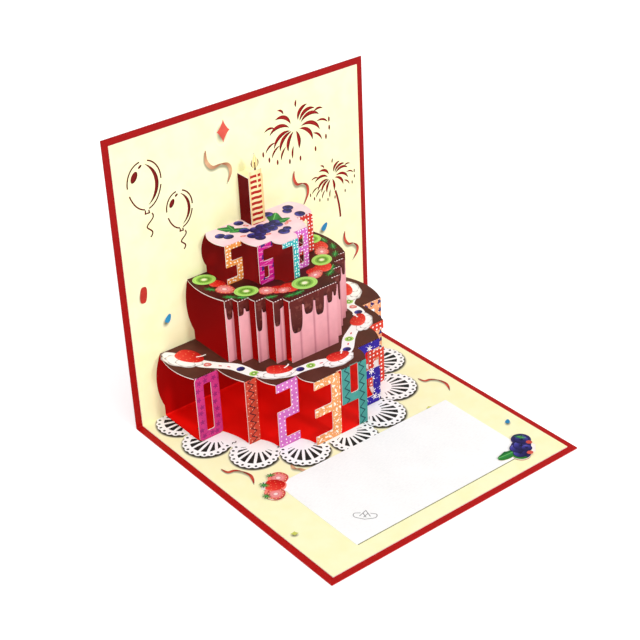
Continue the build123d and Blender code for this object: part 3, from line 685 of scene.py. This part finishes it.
tier_2 = tier_tops[1]
leaf_tufts = (((-33.8, 15.2), 60), ((-31.4, 27.0), 45), ((-27.6, 31.0), 40), ((-17.4, 39.8), 20), ((-9.8, 44.6), 8), ((-5.6, 45.2), 0),
              ((16.8, 40.4), -25), ((20.4, 37.0), -35), ((30.2, 27.4), -45), ((34.4, 20.6), -60), ((35.2, 12.6), -75))
draw("rim_leaves", [patch(p, (3.6, 2.0), t, fringe, 3, 72) for p, t in leaf_tufts], level_at(tier_2, 0.06), leaf_print)
draw("rim_strawberries", [patch(p, h, t, cone) for p, h, t in (
    ((-28.6, 12.6), (4.4, 3.4), 60), ((-11.0, 36.4), (4.4, 3.6), 15), ((-5.4, 38.6), (5.6, 4.4), 12), ((12.0, 34.6), (4.8, 3.8), -15),
    ((17.6, 34.0), (5.4, 4.2), -30), ((29.6, 16.6), (5.6, 4.0), -62))], level_at(tier_2, 0.10), strawberry_print)
draw("rim_strawberry_slices", [patch(p, h, t, cone) for p, h, t in (
    ((-29.0, 19.6), (5.4, 4.2), 68), ((-15.4, 33.8), (4.8, 3.8), 35), ((-9.4, 38.8), (3.6, 2.8), 10), ((10.4, 37.4), (4.8, 3.2), -20),
    ((27.0, 21.4), (5.0, 3.6), -55))], level_at(tier_2, 0.13), slice_print)
draw("rim_kiwis", [patch(p, h, t) for p, h, t in (
    ((-30.9, 5.8), (5.6, 4.9), 30), ((-22.6, 28.0), (5.8, 4.8), 30), ((2.0, 40.1), (6.4, 5.5), 0),
    ((21.8, 27.9), (5.6, 4.8), -30), ((31.5, 7.7), (4.8, 4.6), -30))], level_at(tier_2, 0.17), kiwi_print)
print("rim fruit laid")

# %% [markdown]
# ## The lowest tier: cream, strawberries and a ribbon
# A white ribbon winds round the lowest tier between dollops of whipped cream, each with half a
# strawberry. A dollop is three rounds of cream, each shaded grey at its rim.

# %% Ribbon and dollops
tier_1 = tier_tops[0]
ribbon_path = [(-48.0, 16.0), (-45.2, 21.5), (-41.3, 26.6), (-36.2, 32.7), (-34.2, 38.2), (-32.3, 44.5), (-26.5, 51.5),
               (-19.5, 55.0), (-15.4, 55.5), (-9.2, 56.3), (-3.4, 57.7), (4.0, 60.0), (12.2, 56.7), (19.4, 49.6),
               (25.8, 45.0), (34.0, 40.0), (38.9, 33.0), (40.0, 25.0), (45.0, 20.0), (49.0, 17.0)]
draw("ribbon_print", [band(ribbon_path, lambda s: 5.6 + 0.5 * np.sin(s * 40), 160)], level_at(tier_1, 0.06), white_print)


def puff(angle):
    """A swirl's soft edge: r = 1 + 0.05 cos(7 a)."""
    return 1 + 0.05 * np.cos(7 * angle)


dollops = [((-49.8, 11.2), 10.4, 6.4, 62), ((-24.2, 50.2), 8.4, 5.0, 25), ((4.2, 60.4), 8.0, 4.8, -5), ((34.0, 41.6), 8.0, 4.8, -45),
           ((48.6, 14.0), 9.0, 5.6, -62)]


def on_dollop(p, a, b, t, across, forward):
    """A place on a dollop, in shares of its half length and half width."""
    turn = np.radians(t)
    return (p[0] + across * a * np.cos(turn) - forward * b * np.sin(turn), p[1] + across * a * np.sin(turn) + forward * b * np.cos(turn))


for i, (across, forward, size) in enumerate(((0.0, 0.25, 1.0), (-0.5, 0.1, 0.62), (0.45, 0.2, 0.62), (-0.15, 0.45, 0.66), (0.28, 0.5, 0.5))):
    draw(f"cream_swirl_{i}", [patch(on_dollop(*d, across, forward), (d[1] * size, d[2] * size * 0.85), d[3] + 14 * (i % 2), puff)
                              for d in dollops], level_at(tier_1, 0.10 + 0.02 * i), cream_swirl_print)
draw("dollop_strawberries", [patch(on_dollop(*d, 0.1, -0.42), (d[1] * 0.84, d[2] * 0.78), d[3] + 8, cone) for d in dollops],
     level_at(tier_1, 0.20), strawberry_print)
draw("dollop_stalks", [band([on_dollop(*d, 0.5, -0.5), on_dollop(*d, 0.7, -0.75), on_dollop(*d, 0.82, -1.05)], 0.7, 12) for d in dollops],
     level_at(tier_1, 0.22), white_print)
draw("ribbon_kiwis", [patch(p, (2.3, 2.0), 0) for p in ((-32.5, 44.0), (-8.8, 56.2), (19.3, 49.9), (41.6, 22.4))],
     level_at(tier_1, 0.10), kiwi_print)
draw("ribbon_blueberries", [patch(p, (2.1, 1.8), 0) for p in ((-34.8, 36.8), (-14.4, 55.5), (12.6, 56.4), (38.6, 33.4))],
     level_at(tier_1, 0.11), blueberry_print)
draw("ribbon_slices", [patch(p, (2.2, 1.6), 40, cone) for p in ((-44.4, 23.2), (39.8, 27.6))], level_at(tier_1, 0.12), slice_print)
draw("ribbon_flecks", [patch(p, (0.9, 0.35), t) for p, t in (
    ((-40.4, 28.2), 50), ((-37.9, 31.6), 60), ((-19.2, 55.2), 20), ((-3.8, 57.8), 10), ((23.2, 46.6), -40), ((16.0, 53.2), -45))],
     level_at(tier_1, 0.12), strawberry_print)
print("lowest tier decorated")

# %% [markdown]
# ## The upper tier: blueberries
# Blueberries are heaped in front of the candle, with mint leaves and a few pink crumbs, and a
# few lie by themselves.

# %% Blueberries
tier_3 = tier_tops[2]
draw("crumbs", [patch(p, (1.5, 0.8), t, puff) for p, t in (((-13.2, 14.9), 20), ((9.6, 18.0), -30), ((-3.4, 21.2), 10), ((11.6, 16.9), 40),
                                               ((-6.0, 7.0), 60))], level_at(tier_3, 0.06), slice_print)
draw("mint_leaves", [patch(p, h, t, lens) for p, h, t in (
    ((-14.6, 4.4), (5.2, 2.8), 48), ((-11.4, 8.6), (4.6, 2.4), 12), ((-12.6, 4.0), (3.4, 1.8), 100), ((8.6, 9.6), (5.4, 3.8), -45),
    ((9.6, 14.2), (4.6, 2.6), 5))], level_at(tier_3, 0.08), leaf_print)
heap = (((-21.2, 7.6), 2.5), ((-18.6, 10.8), 2.5), ((-7.2, 2.8), 2.4), ((-9.6, 10.8), 2.6), ((-9.6, 17.6), 2.8), ((-8.2, 21.4), 2.7),
        ((-5.4, 13.8), 3.0), ((-6.0, 18.4), 2.9), ((-1.6, 13.2), 3.0), ((-2.2, 17.4), 2.9), ((2.0, 14.4), 3.0), ((5.8, 13.6), 2.8),
        ((1.6, 18.2), 2.4), ((8.4, 4.8), 2.6), ((5.8, 16.8), 2.2), ((3.6, 24.0), 2.8), ((6.6, 22.4), 2.0), ((19.8, 5.6), 2.7), ((17.4, 8.2), 2.4),
        ((20.1, 14.6), 2.7))
for i, (p, r) in enumerate(heap):
    draw(f"blueberry_{i}", [patch(p, (r, r * 0.94), 15 * i)], level_at(tier_3, 0.10 + 0.006 * i), blueberry_print)
print("blueberries laid")

# %% [markdown]
# ## Candle and flame
# The candle's face is pale wax with slanted red stripes, and its flame is yellow with an amber
# heart and a brown line round it. Both are ink films on the paper's own outline.

# %% Candle
def candle_print():
    """Red where a slanted wave, 3 mm from stripe to stripe, is high."""
    made, tree, surface, place = paper_finish("candle_stripe_print", 0.45)
    apart = add(tree, "ShaderNodeSeparateXYZ", {0: strip_place(tree)})
    slant = maths(tree, "MULTIPLY_ADD", apart.outputs["X"], 0.06, apart.outputs["Y"])
    wobble = maths(tree, "MULTIPLY", maths(tree, "SINE", maths(tree, "MULTIPLY", apart.outputs["X"], 1.6)), 0.08)
    wave = maths(tree, "COSINE", maths(tree, "MULTIPLY", maths(tree, "ADD", slant, wobble), 6.2832 / 2.75))
    inside = maths(tree, "LESS_THAN", maths(tree, "ABSOLUTE", maths(tree, "SUBTRACT", apart.outputs["X"], 3.7)), 3.0)
    below_rim = maths(tree, "LESS_THAN", apart.outputs["Y"], 25.2)
    stripe = maths(tree, "MULTIPLY", maths(tree, "MULTIPLY", maths(tree, "GREATER_THAN", wave, -0.05), inside), below_rim)
    drip = maths(tree, "LESS_THAN", maths(tree, "ABSOLUTE", maths(tree, "SUBTRACT", apart.outputs["X"], 4.7)), 0.35)
    tall = maths(tree, "GREATER_THAN", apart.outputs["Y"], 17.5)
    stripe = maths(tree, "MULTIPLY", stripe, maths(tree, "SUBTRACT", 1.0, maths(tree, "MULTIPLY", drip, tall)))
    side = ramp(tree, maths(tree, "MULTIPLY", apart.outputs["X"], 0.125), [(0.0, "#F2C98A"), (0.3, "#FBE7B4"), (0.8, "#F8DDA0"), (1.0, "#E9B87C")])
    tone = tint(tree, stripe, side, ink("#B0201A"))
    tree.links.new(mottled(tree, tone, place, 0.06, 2.0), surface.inputs["Base Color"])
    return made


def flame_print():
    """Rounds about a low point of the flame: amber, yellow, then a brown line at the edge."""
    made, tree, surface, place = paper_finish("flame_print", 0.45)
    spot = add(tree, "ShaderNodeSeparateXYZ", {0: strip_place(tree)})
    sideways = maths(tree, "DIVIDE", maths(tree, "ABSOLUTE", maths(tree, "SUBTRACT", spot.outputs["X"], candle_half)), 2.2)
    rise = maths(tree, "MAXIMUM", maths(tree, "DIVIDE", maths(tree, "SUBTRACT", spot.outputs["Y"], 28.3), 7.8), 0.0)
    swell = maths(tree, "SINE", maths(tree, "MULTIPLY", maths(tree, "POWER", rise, 0.65), np.pi))
    belly = maths(tree, "POWER", maths(tree, "MAXIMUM", swell, 0.002), 0.8)
    share = maths(tree, "DIVIDE", sideways, belly)
    tone = ramp(tree, share, [(0.0, "#FFF0B4"), (0.34, "#FBDC86"), (0.4, "#A8743A"), (0.46, "#FBE49A"), (0.68, "#FFF1BE"),
                              (0.76, "#B4742E"), (0.82, "#552A10"), (1.0, "#45200C")])
    wick = maths(tree, "MULTIPLY", maths(tree, "LESS_THAN", sideways, 0.14), maths(tree, "LESS_THAN", rise, 0.4))
    tip = maths(tree, "MAXIMUM", maths(tree, "GREATER_THAN", rise, 0.93), maths(tree, "LESS_THAN", rise, 0.03))
    dark = maths(tree, "MAXIMUM", wick, tip)
    tree.links.new(tint(tree, dark, tone, ink("#4A2A12")), surface.inputs["Base Color"])
    return made


wax = front & (np.abs(centre[:, 0]) < 4.01) & (np.abs(centre_out - candle_out) < 0.62)
above = centre_up > tier_tops[3] + 3.0
inked("candle_print", wax & ~above & (centre_up > tier_3), candle_print(), 0.03, (-candle_half, tier_3))
inked("flame_print", wax & above, flame_print(), 0.03, (-candle_half, tier_3))
inked("candle_top_print", upward & (np.abs(centre_up - tier_tops[3]) < 0.3) & (np.abs(centre[:, 0]) < 4.01), cream_print)
print("candle inked")

# %% [markdown]
# ## Doily and confetti
# The cake stands on a paper doily, printed flat on the page: white scallops with a fan of
# slots, a row of holes and a soft shadow. Confetti is scattered on both pages, and each curl
# or scrap has its own printed shadow that fades into the cream.

# %% Doily
def soft_shadow(name, depth, solid):
    """Fades from a shadow tone, past a solid share of the way out, to the page's own cream."""
    made, tree, surface, place = paper_finish(name, 0.55)
    radius, _, _, _ = round_place(tree)
    share = add(tree, "ShaderNodeMapRange", {0: radius, 1: solid, 2: 1.0, 3: 1.0, 4: 0.0}, interpolation_type="SMOOTHSTEP").outputs[0]
    tree.links.new(tint(tree, share, ink("#FCF8CF"), ink(depth)), surface.inputs["Base Color"])
    return made


def lace_print():
    """White, with dark wedges in a fan from a point behind the middle, and dots at the rim."""
    made, tree, surface, place = paper_finish("paper_lace_print", 0.55)
    radius, angle, apart, wide = round_place(tree)
    away = add(tree, "ShaderNodeVectorMath", {0: wide, 1: (0.5, 0.0, 0.0)}, operation="ADD").outputs[0]
    reach = add(tree, "ShaderNodeVectorMath", {0: away}, operation="LENGTH").outputs["Value"]
    spread = add(tree, "ShaderNodeSeparateXYZ", {0: away})
    heading = maths(tree, "ARCTAN2", spread.outputs["Y"], spread.outputs["X"])
    step = 0.31
    turn = maths(tree, "ABSOLUTE", maths(tree, "SUBTRACT", maths(tree, "FRACT", maths(tree, "MULTIPLY_ADD", heading, 1 / step, 0.5)), 0.5))
    width = add(tree, "ShaderNodeMapRange", {0: reach, 1: 0.45, 2: 1.1, 3: 0.16, 4: 0.34}).outputs[0]
    wedge = maths(tree, "LESS_THAN", turn, width)
    ring = maths(tree, "MULTIPLY", maths(tree, "GREATER_THAN", reach, 0.46), maths(tree, "LESS_THAN", radius, 0.68))
    fan = maths(tree, "LESS_THAN", maths(tree, "ABSOLUTE", heading), 1.22)
    slots = maths(tree, "MULTIPLY", maths(tree, "MULTIPLY", wedge, ring), fan)
    beat = 2 * np.pi / 20
    hop = maths(tree, "SUBTRACT", maths(tree, "FRACT", maths(tree, "MULTIPLY_ADD", angle, 1 / beat, 0.5)), 0.5)
    sideways = maths(tree, "MULTIPLY", hop, beat)
    off = maths(tree, "SUBTRACT", radius, 0.87)
    near = maths(tree, "ADD", maths(tree, "MULTIPLY", sideways, sideways), maths(tree, "MULTIPLY", off, off))
    outer_half = maths(tree, "GREATER_THAN", apart.outputs["X"], -0.35)
    dot = maths(tree, "MULTIPLY", maths(tree, "LESS_THAN", near, 0.0034), outer_half)
    marks = maths(tree, "MAXIMUM", slots, dot)
    tone = tint(tree, marks, ink("#FFFFFF"), ink("#262624"))
    tree.links.new(mottled(tree, tone, place, 0.03), surface.inputs["Base Color"])
    return made


def tier_outline(row, outs, bend):
    """The cake's foot on the page: each strip's front, and a bowed curve from one to the next."""
    edge = [(row[0][0], -5.0)]
    share = np.linspace(0, 1, 9)[1:-1]
    for i, ((left, right), out) in enumerate(zip(row, outs)):
        edge += [(left, out + 0.3), (right, out + 0.3)]
        if i + 1 < len(row) and outs[i + 1] != out:
            side = 1 if out < outs[i + 1] else -1
            after = row[i + 1][0]
            edge += [(right + (after - right) * s + side * bend * 4 * s * (1 - s), out + 0.3 + (outs[i + 1] - out) * s) for s in share]
    return np.array(edge + [(row[-1][1], -5.0)])


def trimmed(shape, edge):
    """Cut to the page: faces inside the cake's edge or past the page's are dropped, and points
    just over an edge are drawn back to it."""
    flat, uv, faces = shape
    dense = np.vstack([a + (b - a) * np.linspace(0, 1, 12)[:, None] for a, b in zip(edge, np.roll(edge, -1, axis=0))])
    a, b = edge, np.roll(edge, -1, axis=0)
    crosses = (a[:, 1] > flat[:, 1, None]) != (b[:, 1] > flat[:, 1, None])
    where = (b[:, 0] - a[:, 0]) * (flat[:, 1, None] - a[:, 1]) / np.where(b[:, 1] == a[:, 1], 1, b[:, 1] - a[:, 1]) + a[:, 0]
    inside = (crosses & (flat[:, 0, None] < where)).sum(axis=1) % 2 == 1
    nearest = np.linalg.norm(flat[:, None, :] - dense[None, :, :], axis=2).argmin(axis=1)
    moved = np.where(inside[:, None], dense[nearest], flat)
    past = np.abs(moved[:, 0]) > page_half - 0.3
    moved[:, 0] = np.clip(moved[:, 0], 0.3 - page_half, page_half - 0.3)
    moved[:, 1] = np.maximum(moved[:, 1], 0.3)
    return moved, uv, [f for f in faces if not (inside[list(f)].all() or past[list(f)].all())]


def scallop(angle):
    """Small scallops round the rim: r = 0.94 + 0.06 |cos(10 a)|."""
    return 0.94 + 0.06 * np.abs(np.cos(10 * angle))


left_scallops = [(-53.6, 9.4), (-53.6, 31.8), (-42.2, 54.1), (-23.2, 67.8)]
scallops = left_scallops + [(0.6, 74.3)] + [(-x, out) for x, out in reversed(left_scallops)]
lace_radius = 11.9
cake_foot = tier_outline(row_1, outs_1, 1.2)


def outward(p):
    return float(np.degrees(np.arctan2(p[1] - 20.0, p[0])))


draw("doily_shadow", [trimmed(patch((x - 0.5, out + 1.0), (lace_radius + 1.2,) * 2, 0, None, 8, 64), cake_foot) for x, out in scallops],
     level_at(0, 0.06), soft_shadow("doily_shadow_print", "#3A372C", 0.88))
draw("doily_cloth", [trimmed(band([(x * 0.86, 4 + (out - 4) * 0.88) for x, out in scallops], 13.0, 120), cake_foot)],
     level_at(0, 0.09), white_print)
draw("doily_print", [trimmed(patch(p, (lace_radius,) * 2, outward(p), scallop, 24, 144), cake_foot) for p in scallops],
     level_at(0, 0.12), lace_print())
squiggle = np.array([(-1.3, 0.5), (-0.5, -0.4), (0.4, 0.5), (1.3, -0.4)])
between = [((ax + bx) / 2, (ay + by) / 2) for (ax, ay), (bx, by) in zip(scallops, scallops[1:])]
draw("doily_squiggles", [band(squiggle + np.array((x * 0.93, (out - 15) * 0.93 + 15)), 0.4, 16) for x, out in between],
     level_at(0, 0.35), dark_ink_and_slot_shade)
print("doily scallops", len(scallops))

# %% Confetti
def flat_tone(name, colour, deep):
    return printed_plain(name, colour, 0.45, 0.1, 3.0, deep)


def curl_print(name, bright, deep):
    """A twisted ribbon shows its bright face and its shaded one in turn along its length."""
    made, tree, surface, place = paper_finish(name, 0.45)
    spot = add(tree, "ShaderNodeSeparateXYZ", {0: add(tree, "ShaderNodeUVMap", uv_map="UVMap").outputs["UV"]})
    tone = ramp(tree, spot.outputs["X"], [(0.0, deep), (0.2, bright), (0.48, deep), (0.56, deep), (0.8, bright), (1.0, deep)])
    tree.links.new(mottled(tree, tone, place, 0.1, 3.0), surface.inputs["Base Color"])
    return made


def taper(width):
    """A curl's width: it narrows at its ends and where it turns over half way."""
    return lambda s: width * (0.22 + 0.78 * np.abs(np.sin(2 * np.pi * s)) ** 0.8)


def shadow_band(points, width, shift):
    path = np.array(points, float) + np.array(shift)
    return band(path, lambda s: (width + 1.9) * np.maximum(np.sin(np.pi * s), 0.05) ** 0.5, 60)


def band_shadow_print():
    """Dark along the middle of the band and fading to cream at its sides and ends."""
    made, tree, surface, place = paper_finish("curl_shadow_print", 0.55)
    spot = add(tree, "ShaderNodeSeparateXYZ", {0: add(tree, "ShaderNodeUVMap", uv_map="UVMap").outputs["UV"]})
    side = maths(tree, "ABSOLUTE", maths(tree, "MULTIPLY_ADD", spot.outputs["Y"], 2.0, -1.0))
    share = add(tree, "ShaderNodeMapRange", {0: side, 1: 0.0, 2: 1.0, 3: 0.8, 4: 0.0}, interpolation_type="SMOOTHSTEP").outputs[0]
    tree.links.new(tint(tree, share, ink("#FCF8CF"), ink("#6E6C52")), surface.inputs["Base Color"])
    return made


red_curl = curl_print("red_curl_print", "#D2503C", "#8E241C")
peach_curl = curl_print("peach_curl_print", "#E0AE86", "#A86A4A")
blue_scrap = flat_tone("blue_scrap_print", "#2F93C4", "#1C6FA8")
coral_scrap = flat_tone("coral_scrap_print", "#DE5B4C", "#C94A3E")
red_scrap = flat_tone("red_scrap_print", "#C6382C", "#A82A22")
yellow_scrap = flat_tone("yellow_scrap_print", "#D6D86A", "#BFC455")
wall_curls = [([(28.7, 102.8), (28.4, 99.0), (30.0, 95.4), (33.4, 94.8), (36.0, 92.8), (36.3, 88.6), (33.8, 83.6)], 1.5, red_curl),
              ([(58.2, 60.1), (58.0, 56.0), (60.0, 52.4), (63.6, 51.4), (66.0, 48.8), (65.8, 46.0), (63.3, 42.8)], 1.5, red_curl),
              ([(-20.4, 128.7), (-20.4, 123.4), (-17.4, 119.4), (-12.4, 119.6), (-8.6, 118.0), (-7.6, 114.2), (-9.4, 109.6)], 1.9, peach_curl)]
floor_curls = [([(-61.2, 53.8), (-60.2, 57.8), (-57.2, 58.8), (-55.0, 61.6), (-53.8, 66.0), (-54.6, 69.4), (-56.2, 72.6)], 1.5, red_curl),
               ([(-35.0, 72.6), (-35.6, 75.4), (-33.8, 78.2), (-32.6, 81.8)], 1.8, peach_curl),
               ([(56.2, 57.0), (57.2, 60.8), (60.2, 61.8), (62.6, 64.4), (63.6, 68.6), (62.8, 71.8), (61.0, 75.0)], 1.4, red_curl)]
shade = band_shadow_print()
for name, curls, lay, shift in (("wall", wall_curls, upright_at, (-0.7, -0.9)), ("floor", floor_curls, level_at, (-0.5, 0.7))):
    draw(f"{name}_curl_shadows", [shadow_band(p, w, shift) for p, w, _ in curls], lay(0, 0.05), shade)
    for i, (p, w, finish) in enumerate(curls):
        draw(f"{name}_curl_{i}", [band(p, taper(w), 60)], lay(0, 0.09), finish)


def diamond(angle):
    """Four points with hollow sides: r = 1 / (|cos a| ^ 0.8 + |sin a| ^ 0.8) ^ 1.25."""
    return 1 / (np.abs(np.cos(angle)) ** 0.8 + np.abs(np.sin(angle)) ** 0.8) ** 1.25


def drop(angle):
    return 0.75 + 0.25 * np.cos(angle) ** 5


def pill(angle):
    """A rounded oblong: r = 1 / (|cos a| ^ 3 + |sin a| ^ 3) ^ (1 / 3)."""
    return (np.abs(np.cos(angle)) ** 3 + np.abs(np.sin(angle)) ** 3) ** (-1 / 3)


scraps = [("wall", (-9.9, 135.2), (3.6, 5.6), -4, diamond, coral_scrap), ("wall", (-60.6, 68.8), (1.9, 4.2), -8, pill, red_scrap),
          ("wall", (-49.2, 51.3), (3.0, 2.0), 60, drop, blue_scrap), ("wall", (45.2, 66.6), (3.0, 2.0), 50, drop, blue_scrap),
          ("floor", (-64.0, 113.0), (2.0, 1.5), 30, diamond, yellow_scrap), ("floor", (43.3, 79.8), (1.6, 1.2), 10, diamond, yellow_scrap),
          ("floor", (62.7, 113.5), (2.2, 1.5), -40, drop, blue_scrap)]
scrap_shadow = soft_shadow("scrap_shadow_print", "#6E6C52", 0.1)
for i, (page, p, half, turn, outline, finish) in enumerate(scraps):
    lay = upright_at if page == "wall" else level_at
    down = (-0.9, -1.0) if page == "wall" else (-0.7, 0.8)
    draw(f"scrap_shadow_{i}", [patch((p[0] + down[0], p[1] + down[1]), (half[0] + 0.5, half[1] + 0.5), turn)], lay(0, 0.05), scrap_shadow)
    draw(f"scrap_{i}", [patch(p, half, turn, outline, 3, 64)], lay(0, 0.09), finish)
print("confetti", len(wall_curls) + len(floor_curls) + len(scraps))

# %% [markdown]
# ## The fruit tabs
# The message card is held by two flaps cut to the outline of fruit: strawberries at one corner,
# blueberries with a leaf at the other. The print covers the whole flap.

# %% Tabs
flap = 0.3 + 0.05 + 0.4
on_flap = upward & (np.abs(centre_up - flap) < 0.05) & (centre_out > 68)
left_side = centre[:, 0] < 0
leaf_side = centre[:, 0] < 47.5
inked("strawberry_tab_print", on_flap & left_side, strawberry_print)
inked("blueberry_tab_print", on_flap & ~left_side & ~leaf_side, printed_plain("berry_ground_print", "#26204E", 0.4, 0.08, 3.0, "#322C66"))
inked("leaf_tab_print", on_flap & ~left_side & leaf_side, printed_plain("leaf_ground_print", "#2C7E2C", 0.4, 0.08, 3.0, "#246A26"))
draw("tab_slices", [patch((-46.0, 77.4), (4.7, 4.4), 35, cone), patch((-54.0, 86.2), (4.6, 4.2), 10, cone)], level_at(flap, 0.07), slice_print)
draw("tab_strawberry", [patch((-50.9, 80.4), (5.2, 4.3), 30, cone)], level_at(flap, 0.10), strawberry_print)
draw("tab_leaves", [patch(p, h, t, fringe, 3, 72) for p, h, t in (
    ((-54.0, 77.6), (2.8, 2.0), 60), ((-58.0, 84.8), (2.4, 1.9), 80), ((-47.6, 73.6), (2.6, 1.5), 20), ((57.6, 127.0), (3.0, 1.8), 60))],
     level_at(flap, 0.13), leaf_print)
draw("tab_leaf", [patch((43.6, 132.8), (5.6, 2.5), 6, lens, 4, 72)], level_at(flap, 0.06), leaf_print)
berries = (((49.0, 135.9), 3.6), ((50.4, 132.4), 3.7), ((53.2, 132.0), 3.8), ((53.8, 135.0), 2.6), ((56.6, 128.8), 3.7))
for i, (p, r) in enumerate(berries):
    draw(f"tab_blueberry_{i}", [patch(p, (r, r * 0.95), 20 * i)], level_at(flap, 0.07 + 0.01 * i), blueberry_print)
draw("tab_flowers", [patch(p, (1.5, 1.3), t, puff) for p, t in (((52.4, 138.6), 20), ((57.8, 132.6), 50))], level_at(flap, 0.14), coral_scrap)
print("tabs drawn")

# %% [markdown]
# ## The message card's own drawing
# The loose card is bare but for a small ribbon bow in one corner, drawn in thin grey lines. Its
# front edge stands a hair above the page, and the thin shadow under it is drawn too.

# %% Message card
card_low, card_high = (np.array(corner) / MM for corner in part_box("message_card"))
card_front = wall_y - card_low[1]
knot = np.array((card_low[0] + 13.0, card_front - 10.5))
bow_half = [[(0.6, -0.2), (-1.8, -4.6), (-0.4, -6.6), (2.0, -5.0)], [(2.6, -4.2), (1.8, -1.0)], [(4.8, -4.8), (3.6, -0.2)]]
bow_lines = bow_half + [[(-up, -x) for x, up in line] for line in bow_half]
pencil = printed_plain("grey_line_print", "#8A8A8C", 0.6, 0.1, 2.0)
draw("ribbon_bow", [band(knot + np.array(line), 0.34, 24) for line in bow_lines], level_at(0.3, 0.03), pencil)
under_card = printed_plain("olive_shadow_print", "#7E7A54", 0.6, 0.05, 10.0)
draw("card_edge_shadow", [band([(card_low[0] + 0.5, card_front + 0.2), (card_high[0] - 0.5, card_front + 0.2)], 0.5, 2, False)],
     level_at(0, 0.05), under_card)
print("message card drawn")

# %% [markdown]
# ## Light, floor and camera
# The studio is plain: a pale floor, a bright even surround, and one large soft lamp from the
# front left. The view is set by where the camera stands and the three directions it holds.

# %% Stage
floor = build("floor", 20000.0 * np.array([[-1, -1, 0], [1, -1, 0], [1, 1, 0], [-1, 1, 0]]) - [0, 0, 0.2], [(0, 1, 2, 3)])
matt, tree, surface, place = paper_finish("studio_floor", 0.9, 20.0, 0.0)
tree.links.new(mottled(tree, ink("#F4F4F4"), place, 0.01, 200.0), surface.inputs["Base Color"])
surface.inputs["Emission Color"].default_value = (1, 1, 1, 1)
surface.inputs["Emission Strength"].default_value = 0.35
floor.data.materials.append(matt)

world = bpy.data.worlds.new("studio")
world.use_nodes = True
world.node_tree.nodes["Background"].inputs["Color"].default_value = (1, 1, 1, 1)
world.node_tree.nodes["Background"].inputs["Strength"].default_value = 0.7
bpy.context.scene.world = world


def sun(name, azimuth, elevation, strength, width):
    """Light from an azimuth and an elevation: 0 degrees is from the front, 90 from the right."""
    light = bpy.data.lights.new(name, "SUN")
    light.energy = strength
    light.angle = np.radians(width)
    piece = bpy.data.objects.new(name, light)
    bpy.context.collection.objects.link(piece)
    a, e = np.radians(azimuth), np.radians(elevation)
    back = np.array([np.sin(a) * np.cos(e), -np.cos(a) * np.cos(e), np.sin(e)])
    right = np.cross([0, 0, 1], back)
    right /= np.linalg.norm(right)
    up = np.cross(back, right)
    piece.matrix_world = Matrix([[right[k], up[k], back[k], 0] for k in range(3)] + [[0, 0, 0, 1]])


sun("key", 8, 28, 1.05, 8)
sun("top", -20, 72, 0.75, 30)

camera = bpy.data.cameras.new("camera")
camera.lens = 83.35
camera.sensor_width = 36.0
camera.clip_start = 0.01
holder = bpy.data.objects.new("camera", camera)
bpy.context.collection.objects.link(holder)
right = (0.783915, -0.619492, -0.041312)
down = (-0.344414, -0.378535, -0.859122)
ahead = (0.516581, 0.687707, -0.510101)
stand = (-0.35255, -0.44849, 0.40378)
holder.matrix_world = Matrix([[right[k], -down[k], -ahead[k], stand[k]] for k in range(3)] + [[0, 0, 0, 1]])
bpy.context.scene.camera = holder
bpy.context.scene.view_settings.view_transform = "Standard"
print("stage set")
